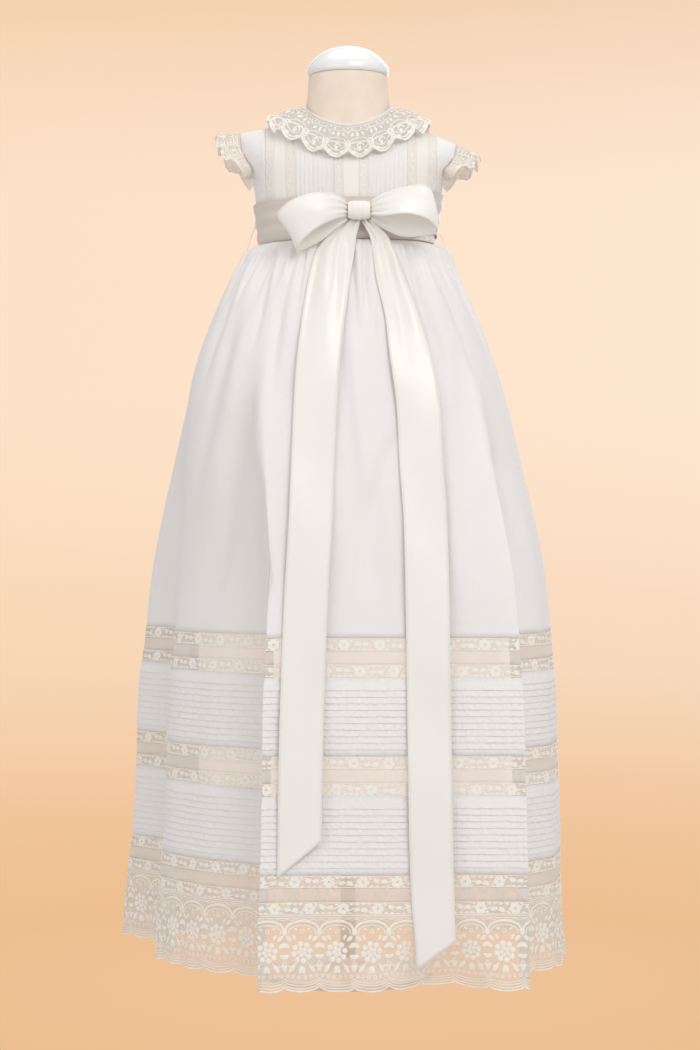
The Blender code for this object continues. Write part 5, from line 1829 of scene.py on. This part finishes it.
class GOWN_OT_bodice_back(bpy.types.Operator):
    """The bodice's plain back, its halves lapped right over left, with three pearl buttons"""

    bl_idname = "gown.bodice_back"
    bl_label = "Bodice back"

    def execute(self, context):
        sizes = sizes_of(context)
        fixed = [LAP, 0.0, -LAP, -2 * LAP, -0.030, -NECK_SIDE]
        for side, sign in SIDES:
            node = f"bodice_back_{side}"
            places = fixed if side == "left" else [-x for x in fixed]
            lift = 0.0 if side == "left" else LAP_LIFT
            points, uv = side_panel(places, sign, "back", 22, lift)
            piece = cloth_piece(node + "_batiste", points, uv, sizes.cloth, "batiste", node)
            declare(piece, ["form_body"], area=BACK_AREA)
        for i, up in enumerate(BUTTONS_UP):
            seat = body_point(0.0, up, "back", LAP_LIFT + 2 * SEAM_GAP)
            normal = unit(body_point(0.0, up, "back", 0.01) - body_point(0.0, up, "back"))
            facing = Vector(normal.tolist()).to_track_quat("Z", "Y").to_matrix()
            rows = [
                [seat + np.array(facing @ Vector(point)) for point in turned_ring(row.radius, row.out, 32)]
                for row in BUTTON
            ]
            dress(joined(f"pearl_button_{i + 1}", rows), finish_of("pearl"), [f"button_{i + 1}"])
        return {"FINISHED"}


class GOWN_OT_binding(bpy.types.Operator):
    """The narrow folded binding that stands along the neckline"""

    bl_idname = "gown.binding"
    bl_label = "Neck binding"

    def execute(self, context):
        turns = [math.pi * k / 9 for k in range(10)]
        fold = [(0.0020 - 0.0008 * math.cos(turn), 0.0044 + 0.0006 * math.sin(turn)) for turn in turns]
        profile = [(0.0, 0.0), *fold, (0.0016, 0.0)]
        rows = []
        for angle in np.linspace(-180 + BACK_SLIT, 180 - BACK_SLIT, 145):
            turn = math.radians(angle)
            face = "front" if math.cos(turn) > 0 else "back"
            depth = NECK_FRONT if face == "front" else NECK_BACK
            start = NECK_SIDE * math.sin(turn)
            foot = body_point(start, neck_up(start, face), face)[2] + SEAM_GAP
            ripple = 0.00012 * math.sin(angle * 1.9)
            row = []
            for inward, up in profile:
                x = (NECK_SIDE - inward + ripple) * math.sin(turn)
                row.append((x, -(depth - inward + ripple) * math.cos(turn), foot + up))
            rows.append(row)
        binding = joined("neck_binding_batiste", rows)
        dress(binding, finish_of("batiste"), ["neck_binding"])
        flat_uv(binding, lambda point: (math.atan2(point.x, -point.y) * NECK_SIDE, point.z))
        return {"FINISHED"}


def corded(name, pitch, depth, count, first, place):
    """A row of corded scallops, laid on a ruffle."""
    scallop = scallop_ornament(pitch, depth)
    work = LaceWork()
    work.lay(repeated(scallop, count, pitch, first, 0.0), place)
    discard(scallop)
    return work.piece(name)


class GOWN_OT_collar(bpy.types.Operator):
    """The flat collar of gathered lace, with corded scallops"""

    bl_idname = "gown.collar"
    bl_label = "Lace collar"

    def execute(self, context):
        sizes = sizes_of(context)
        reach = 180.0 - BACK_SLIT
        angles = np.linspace(-reach, reach, 601)
        angle, share = np.meshgrid(angles, np.linspace(0.0, 1.0, 13))
        turn = np.radians(angle)
        uv = together(turn * COLLAR_REACH, -share * COLLAR_CUT[1])
        points = collar_point(angle, share)
        collar = cloth_piece("lace_collar_net", points, uv, sizes.sheer, "collar", "lace_collar")
        pitch, depth = COLLAR_PITCH, COLLAR_CUT[1]

        def place(x, y, out):
            angle = np.clip(x / pitch * 360.0 / COLLAR_SCALLOPS, -reach, reach)
            edge = 0.94 + 0.06 * np.abs(np.sin(np.radians(angle) * COLLAR_SCALLOPS / 2))
            return collar_point(angle, np.clip(-y / depth, 0.0, 1.0) / edge, out)

        first = -(COLLAR_SCALLOPS - 1) / 2 * pitch
        cords = corded("lace_collar_cords", pitch, depth, COLLAR_SCALLOPS, first, place)
        declare(collar, ["bodice_tucks_left_batiste"], [cords])
        return {"FINISHED"}


class GOWN_OT_sleeves(bpy.types.Operator):
    """The two gathered lace ruffles round the armholes"""

    bl_idname = "gown.sleeves"
    bl_label = "Sleeve ruffles"

    def execute(self, context):
        sizes = sizes_of(context)
        for side in ("left", "right"):
            travels = np.linspace(SLEEVE_ENDS, 1.0 - SLEEVE_ENDS, 241)
            travel, share = np.meshgrid(travels, np.linspace(0.0, 1.0, 11))
            points = sleeve_point(side, travel, share)
            uv = together(travel * SLEEVE_CUT[0], -share * SLEEVE_CUT[1])
            if side == "right":
                points, uv = points[:, ::-1], uv[:, ::-1]
            name, node = f"sleeve_{side}_net", f"sleeve_ruffle_{side}"
            ruffle = cloth_piece(name, points, uv, sizes.sheer, "collar", node)
            pitch, depth = SLEEVE_PITCH, SLEEVE_CUT[1]

            def place(x, y, out, side=side, pitch=pitch, depth=depth):
                travel = np.clip(x / pitch / SLEEVE_SCALLOPS, SLEEVE_ENDS, 1.0 - SLEEVE_ENDS)
                return sleeve_point(side, travel, np.clip(-y / depth, 0.0, 1.0), out)

            cords = corded(f"sleeve_{side}_cords", pitch, depth, SLEEVE_SCALLOPS, pitch / 2, place)
            declare(ruffle, [f"bodice_side_{side}_batiste"], [cords])
        return {"FINISHED"}


class GOWN_OT_sash(bpy.types.Operator):
    """The satin sash round the waist"""

    bl_idname = "gown.sash"
    bl_label = "Sash"

    def execute(self, context):
        sizes = sizes_of(context)
        angles = np.linspace(-180.0, 180.0, 289)
        shares = np.linspace(1.0, 0.0, 23)
        angle, share = np.meshgrid(angles[:-1], shares)
        points = sash_point(angle, share, SASH_CLEAR + SASH_OVER)
        round_waist, up = np.meshgrid(angles, shares)
        uv = together((up - 0.5) * RIBBON_WIDTH, np.radians(round_waist) * SASH_REACH)
        sash = cloth_piece("sash_satin", points, uv, sizes.ribbon, "sash", "sash", True)
        declare(sash, ["bodice_tucks_left_batiste"])
        return {"FINISHED"}


def front_depth(x, height):
    """How far forward the skirt's front stands at these places."""
    angles = np.linspace(-60.0, 60.0, 481)
    out = []
    for row_x, row_height in zip(x, height):
        points = skirt_point(angles, max(float(row_height), HEM_LACE_TOP))
        order = np.argsort(points[:, 0])
        out.append(np.interp(row_x, points[order, 0], -points[order, 1]))
    return np.array(out)


def smoothed(values, passes):
    """Rows of values, each mixed with its neighbours."""
    for _ in range(passes):
        padded = np.vstack([values[:1], values, values[-1:]])
        values = 0.25 * padded[:-2] + 0.5 * padded[1:-1] + 0.25 * padded[2:]
    return values


def ribbon_uv(across, along):
    """Metres across and along a ribbon, from shares of its width and places along it."""
    return together(*np.meshgrid(across * RIBBON_WIDTH, along))


class GOWN_OT_tails(bpy.types.Operator):
    """The bow's two long tails, cut on a slant"""

    bl_idname = "gown.tails"
    bl_label = "Ribbon tails"

    def execute(self, context):
        sizes = sizes_of(context)
        for side, table in (("left", LEFT_TAIL), ("right", RIGHT_TAIL)):
            heights = np.linspace(table[0].height, table[-1].height, 150)
            across = np.linspace(-1.0, 1.0, 21)
            width = read_table(table, heights, "width")[:, None]
            middle = read_table(table, heights, "middle")[:, None]
            x = middle + across[None, :] * width / 2
            end = smooth_step((heights[-1] + 0.030 - heights) / 0.030)[:, None]
            z = heights[:, None] + TAIL_SLANT[side] / 2 * across[None, :] * end
            depth = front_depth(x, np.minimum(heights, WAIST - 0.001))
            for _ in range(3):
                depth = np.maximum(depth, smoothed(depth, 8))
            flat = depth.max(axis=1, keepdims=True)
            lower = smooth_step((0.66 - heights) / 0.08)[:, None]
            depth = depth + (flat - depth) * 0.75 * lower
            depth = np.maximum(smoothed(depth, 6) + TAIL_CLEAR, TAIL_NEAREST)
            rise = np.maximum(0.0, 1.0 - width / RIBBON_WIDTH)
            phase = 1.0 if side == "left" else 2.4
            gather = 0.0022 * rise * np.cos(across[None, :] * 7.0 + phase)
            sway = 0.0016 * lower * (1.0 + np.sin(heights[:, None] * 31.0 + phase + across[None, :] * 0.9))
            depth = depth + gather + sway
            points = together(x, -depth, z)
            uv = ribbon_uv(across / 2, heights)
            name, node = f"ribbon_{side}_tail", f"ribbon_tail_{side}"
            tail = cloth_piece(name, points, uv, sizes.ribbon, "satin", node)
            declare(tail, ["bow_knot_satin"])
        return {"FINISHED"}


class GOWN_OT_bow(bpy.types.Operator):
    """The bow's two loops and its pleated knot"""

    bl_idname = "gown.bow"
    bl_label = "Bow"

    def execute(self, context):
        sizes = sizes_of(context)
        for side, table in (("left", LEFT_LOOP), ("right", RIGHT_LOOP)):
            count = 91
            x, y, z = (through(table, column, count) for column in ("x", "y", "z"))
            width = through(table, "width", count)
            edge_x, edge_y = through(table, "edge_x", count), through(table, "edge_y", count)
            edge_z = -np.sqrt(np.maximum(0.0, 1.0 - edge_x**2 - edge_y**2))
            down = together(edge_x, edge_y, edge_z)
            across = np.linspace(-0.5, 0.5, 25)
            middle = together(x, y, z)
            grid = middle[:, None, :] + down[:, None, :] * (across[None, :, None] * width[:, None, None])
            along = unit(np.gradient(middle, axis=0))
            normal = unit(np.cross(along, down))
            drawn = 1.0 - smooth_step((width - 0.014) / 0.020)
            pleats = 0.0012 * drawn[:, None] * np.cos(across[None, :] * 2 * math.pi * 3.5)
            rolling = np.sin(across[None, :] * 5.0 + np.linspace(0, 9, count)[:, None])
            dent = 0.0012 * (1.0 - drawn[:, None]) * rolling
            grid = grid + normal[:, None, :] * (pleats + dent)[..., None]
            travel = travelled(middle)
            uv = ribbon_uv(across, travel)
            name, node = f"bow_{side}_satin", f"bow_loop_{side}"
            loop = cloth_piece(name, grid, uv, sizes.ribbon, "satin", node)
            declare(loop, ["bow_knot_satin"])
        rows = []
        for place in np.linspace(-1.0, 1.0, 25):
            swell = 1.0 - 0.16 * abs(place) ** 3
            row = []
            for i in range(48):
                turn = 2 * math.pi * i / 48
                pleat_out = 1.0 + 0.045 * math.cos(place * 15.0) * (1.0 - place**4)
                y = KNOT_HALF[1] * float(squared(math.sin(turn))) * swell * pleat_out
                z = KNOT_HALF[2] * float(squared(math.cos(turn))) * swell
                row.append((KNOT_MIDDLE[0] + KNOT_HALF[0] * place, KNOT_MIDDLE[1] + y, KNOT_MIDDLE[2] + z))
            rows.append(row)
        knot = joined("bow_knot_satin", rows)
        flat_uv(knot, lambda point: (point.x - KNOT_MIDDLE[0], point.z))
        dress(knot, finish_of("satin"), ["bow_knot"])
        return {"FINISHED"}


class GOWN_OT_thread_loops(bpy.types.Operator):
    """Thin thread carriers at the side seams, left slack beside the sash"""

    bl_idname = "gown.thread_loops"
    bl_label = "Thread carriers"

    def execute(self, context):
        for side, line in THREAD_LOOPS.items():
            curve = bpy.data.curves.new("thread", "CURVE")
            curve.dimensions = "3D"
            curve.bevel_depth = CARRIER_THICK / 2
            curve.bevel_resolution = 2
            curve.use_fill_caps = True
            spline = curve.splines.new("BEZIER")
            spline.bezier_points.add(len(line) - 1)
            for point, place in zip(spline.bezier_points, line):
                point.co = place
                point.handle_left_type = point.handle_right_type = "AUTO"
            source = link("thread", curve)
            graph = context.evaluated_depsgraph_get()
            mesh = bpy.data.meshes.new_from_object(source.evaluated_get(graph))
            discard(source)
            carrier = link(f"thread_carrier_{side}", mesh)
            mesh.shade_smooth()
            dress(carrier, finish_of("thread"))
        return {"FINISHED"}


def oval(height, side, front, back, count=ROUND):
    """A level ring of the form, deeper or shallower behind."""
    row = []
    for i in range(count):
        turn = 2 * math.pi * i / count
        depth = front + (back - front) * float(smooth_step(0.5 - math.cos(turn) * 2.0))
        row.append((side * math.sin(turn), -depth * math.cos(turn), height))
    return row


class GOWN_OT_form(bpy.types.Operator):
    """The limbless dress form: linen body, glossy cap, pole and base"""

    bl_idname = "gown.form"
    bl_label = "Dress form"

    def execute(self, context):
        foot = np.linspace(FORM[0].height, FORM_FOOT, 6)[:-1]
        chest = np.linspace(FORM_FOOT, FORM_CHEST, 14)[:-1]
        rows = []
        for height in np.concatenate([foot, chest, np.linspace(FORM_CHEST, FORM[-1].height, 30)]):
            reach = [float(read_table(FORM, height, column)) for column in ("side", "front", "back")]
            rows.append(oval(float(height), *reach))
        dress(joined("form_linen", rows), finish_of("linen"), ["form_body"])
        halves = zip(through(CAP, "height", 31), through(CAP, "half", 31))
        rows = [oval(float(z), float(half), float(half) * 0.95, float(half) * 0.95) for z, half in halves]
        dress(joined("form_cap_lacquer", rows), finish_of("cap"), ["form_cap"])
        for name, profile in STAND.items():
            rows = [turned_ring(radius, height) for radius, height in profile]
            dress(joined(name + "_lacquer", rows), finish_of("stand"), [name])
        return {"FINISHED"}


def bowl_mesh():
    """A flat floor that coves into a round wall."""
    inner = BACKDROP_WALL - BACKDROP_COVE
    profile = [(radius, BACKDROP_FLOOR) for radius in (0.5, 2.5, 4.0, inner)]
    for k in range(1, 9):
        turn = math.pi / 2 * k / 8
        cove = (inner + BACKDROP_COVE * math.sin(turn), BACKDROP_COVE * (1.0 - math.cos(turn)))
        profile.append(cove)
    profile += [(BACKDROP_WALL, 4.0), (BACKDROP_WALL, BACKDROP_TOP)]
    points = [point for radius, height in profile for point in turned_ring(radius, height)]
    points.append((0.0, 0.0, BACKDROP_FLOOR))
    faces = ring_faces(len(profile), ROUND)
    faces += [(k, (k + 1) % ROUND, len(points) - 1) for k in range(ROUND)]
    mesh = bpy.data.meshes.new("studio_paper")
    mesh.from_pydata(points, [], faces)
    mesh.shade_smooth()
    return mesh


class GOWN_OT_studio(bpy.types.Operator):
    """Camera, soft lights and the seamless pale backdrop"""

    bl_idname = "gown.studio"
    bl_label = "Studio"

    def execute(self, context):
        scene = context.scene
        camera = bpy.data.cameras.new("camera")
        camera.sensor_fit = "VERTICAL"
        camera.sensor_height = FILM
        camera.lens = FILM * -EYE[1] / TALL_AT_FORM
        camera.clip_end = 50.0
        holder = link("camera", camera)
        holder.location = EYE
        holder.rotation_euler = (math.radians(90.0), 0.0, 0.0)
        scene.camera = holder
        scene.view_settings.view_transform = "Standard"
        scene.cycles.transparent_max_bounces = 24
        for row in LIGHTS:
            light = bpy.data.lights.new(row.name, "AREA")
            light.shape = "DISK"
            light.size = row.size
            light.energy = row.power
            light.color = linear(row.colour)[:3]
            lamp = link(row.name, light)
            lamp.location = row.place
            lamp.rotation_euler = (AIM - Vector(row.place)).to_track_quat("-Z", "Y").to_euler()
        world = scene.world or bpy.data.worlds.new("world")
        scene.world = world
        world.use_nodes = True
        sky = world.node_tree.nodes["Background"]
        sky.inputs["Color"].default_value = linear(WORLD_COLOUR)
        sky.inputs["Strength"].default_value = WORLD_LIGHT
        bowl = link("studio_paper", bowl_mesh())
        bowl.data.materials.append(backdrop_paper())
        for ray in ("diffuse", "glossy", "transmission", "shadow"):
            setattr(bowl, "visible_" + ray, False)
        return {"FINISHED"}


class GOWN_PT_panel(bpy.types.Panel):
    """Sizes, colours and pieces of the gown"""

    bl_idname = "GOWN_PT_panel"
    bl_label = "Christening gown"
    bl_space_type = "VIEW_3D"
    bl_region_type = "UI"
    bl_category = "Gown"

    def draw(self, context):
        for group in (context.scene.gown_sizes, context.scene.gown_colours):
            box = self.layout.box()
            for name in type(group).__annotations__:
                box.prop(group, name)
        for operator in OPERATORS:
            self.layout.operator(operator.bl_idname)


OPERATORS = (
    GOWN_OT_studio,
    GOWN_OT_form,
    GOWN_OT_skirt,
    GOWN_OT_slip,
    GOWN_OT_tucked_panels,
    GOWN_OT_bands,
    GOWN_OT_hem_lace,
    GOWN_OT_bodice_front,
    GOWN_OT_bodice_back,
    GOWN_OT_binding,
    GOWN_OT_collar,
    GOWN_OT_sleeves,
    GOWN_OT_bow,
    GOWN_OT_sash,
    GOWN_OT_tails,
    GOWN_OT_thread_loops,
)
CLASSES = (GOWN_PG_sizes, GOWN_PG_colours, *OPERATORS, GOWN_PT_panel)


def register():
    for made in CLASSES:
        bpy.utils.register_class(made)
    bpy.types.Scene.gown_sizes = bpy.props.PointerProperty(type=GOWN_PG_sizes)
    bpy.types.Scene.gown_colours = bpy.props.PointerProperty(type=GOWN_PG_colours)


def unregister():
    del bpy.types.Scene.gown_colours
    del bpy.types.Scene.gown_sizes
    for made in reversed(CLASSES):
        bpy.utils.unregister_class(made)


def main():
    register()
    for operator in OPERATORS:
        group, name = operator.bl_idname.split(".")
        getattr(getattr(bpy.ops, group), name)()


if __name__ == "__main__":
    main()
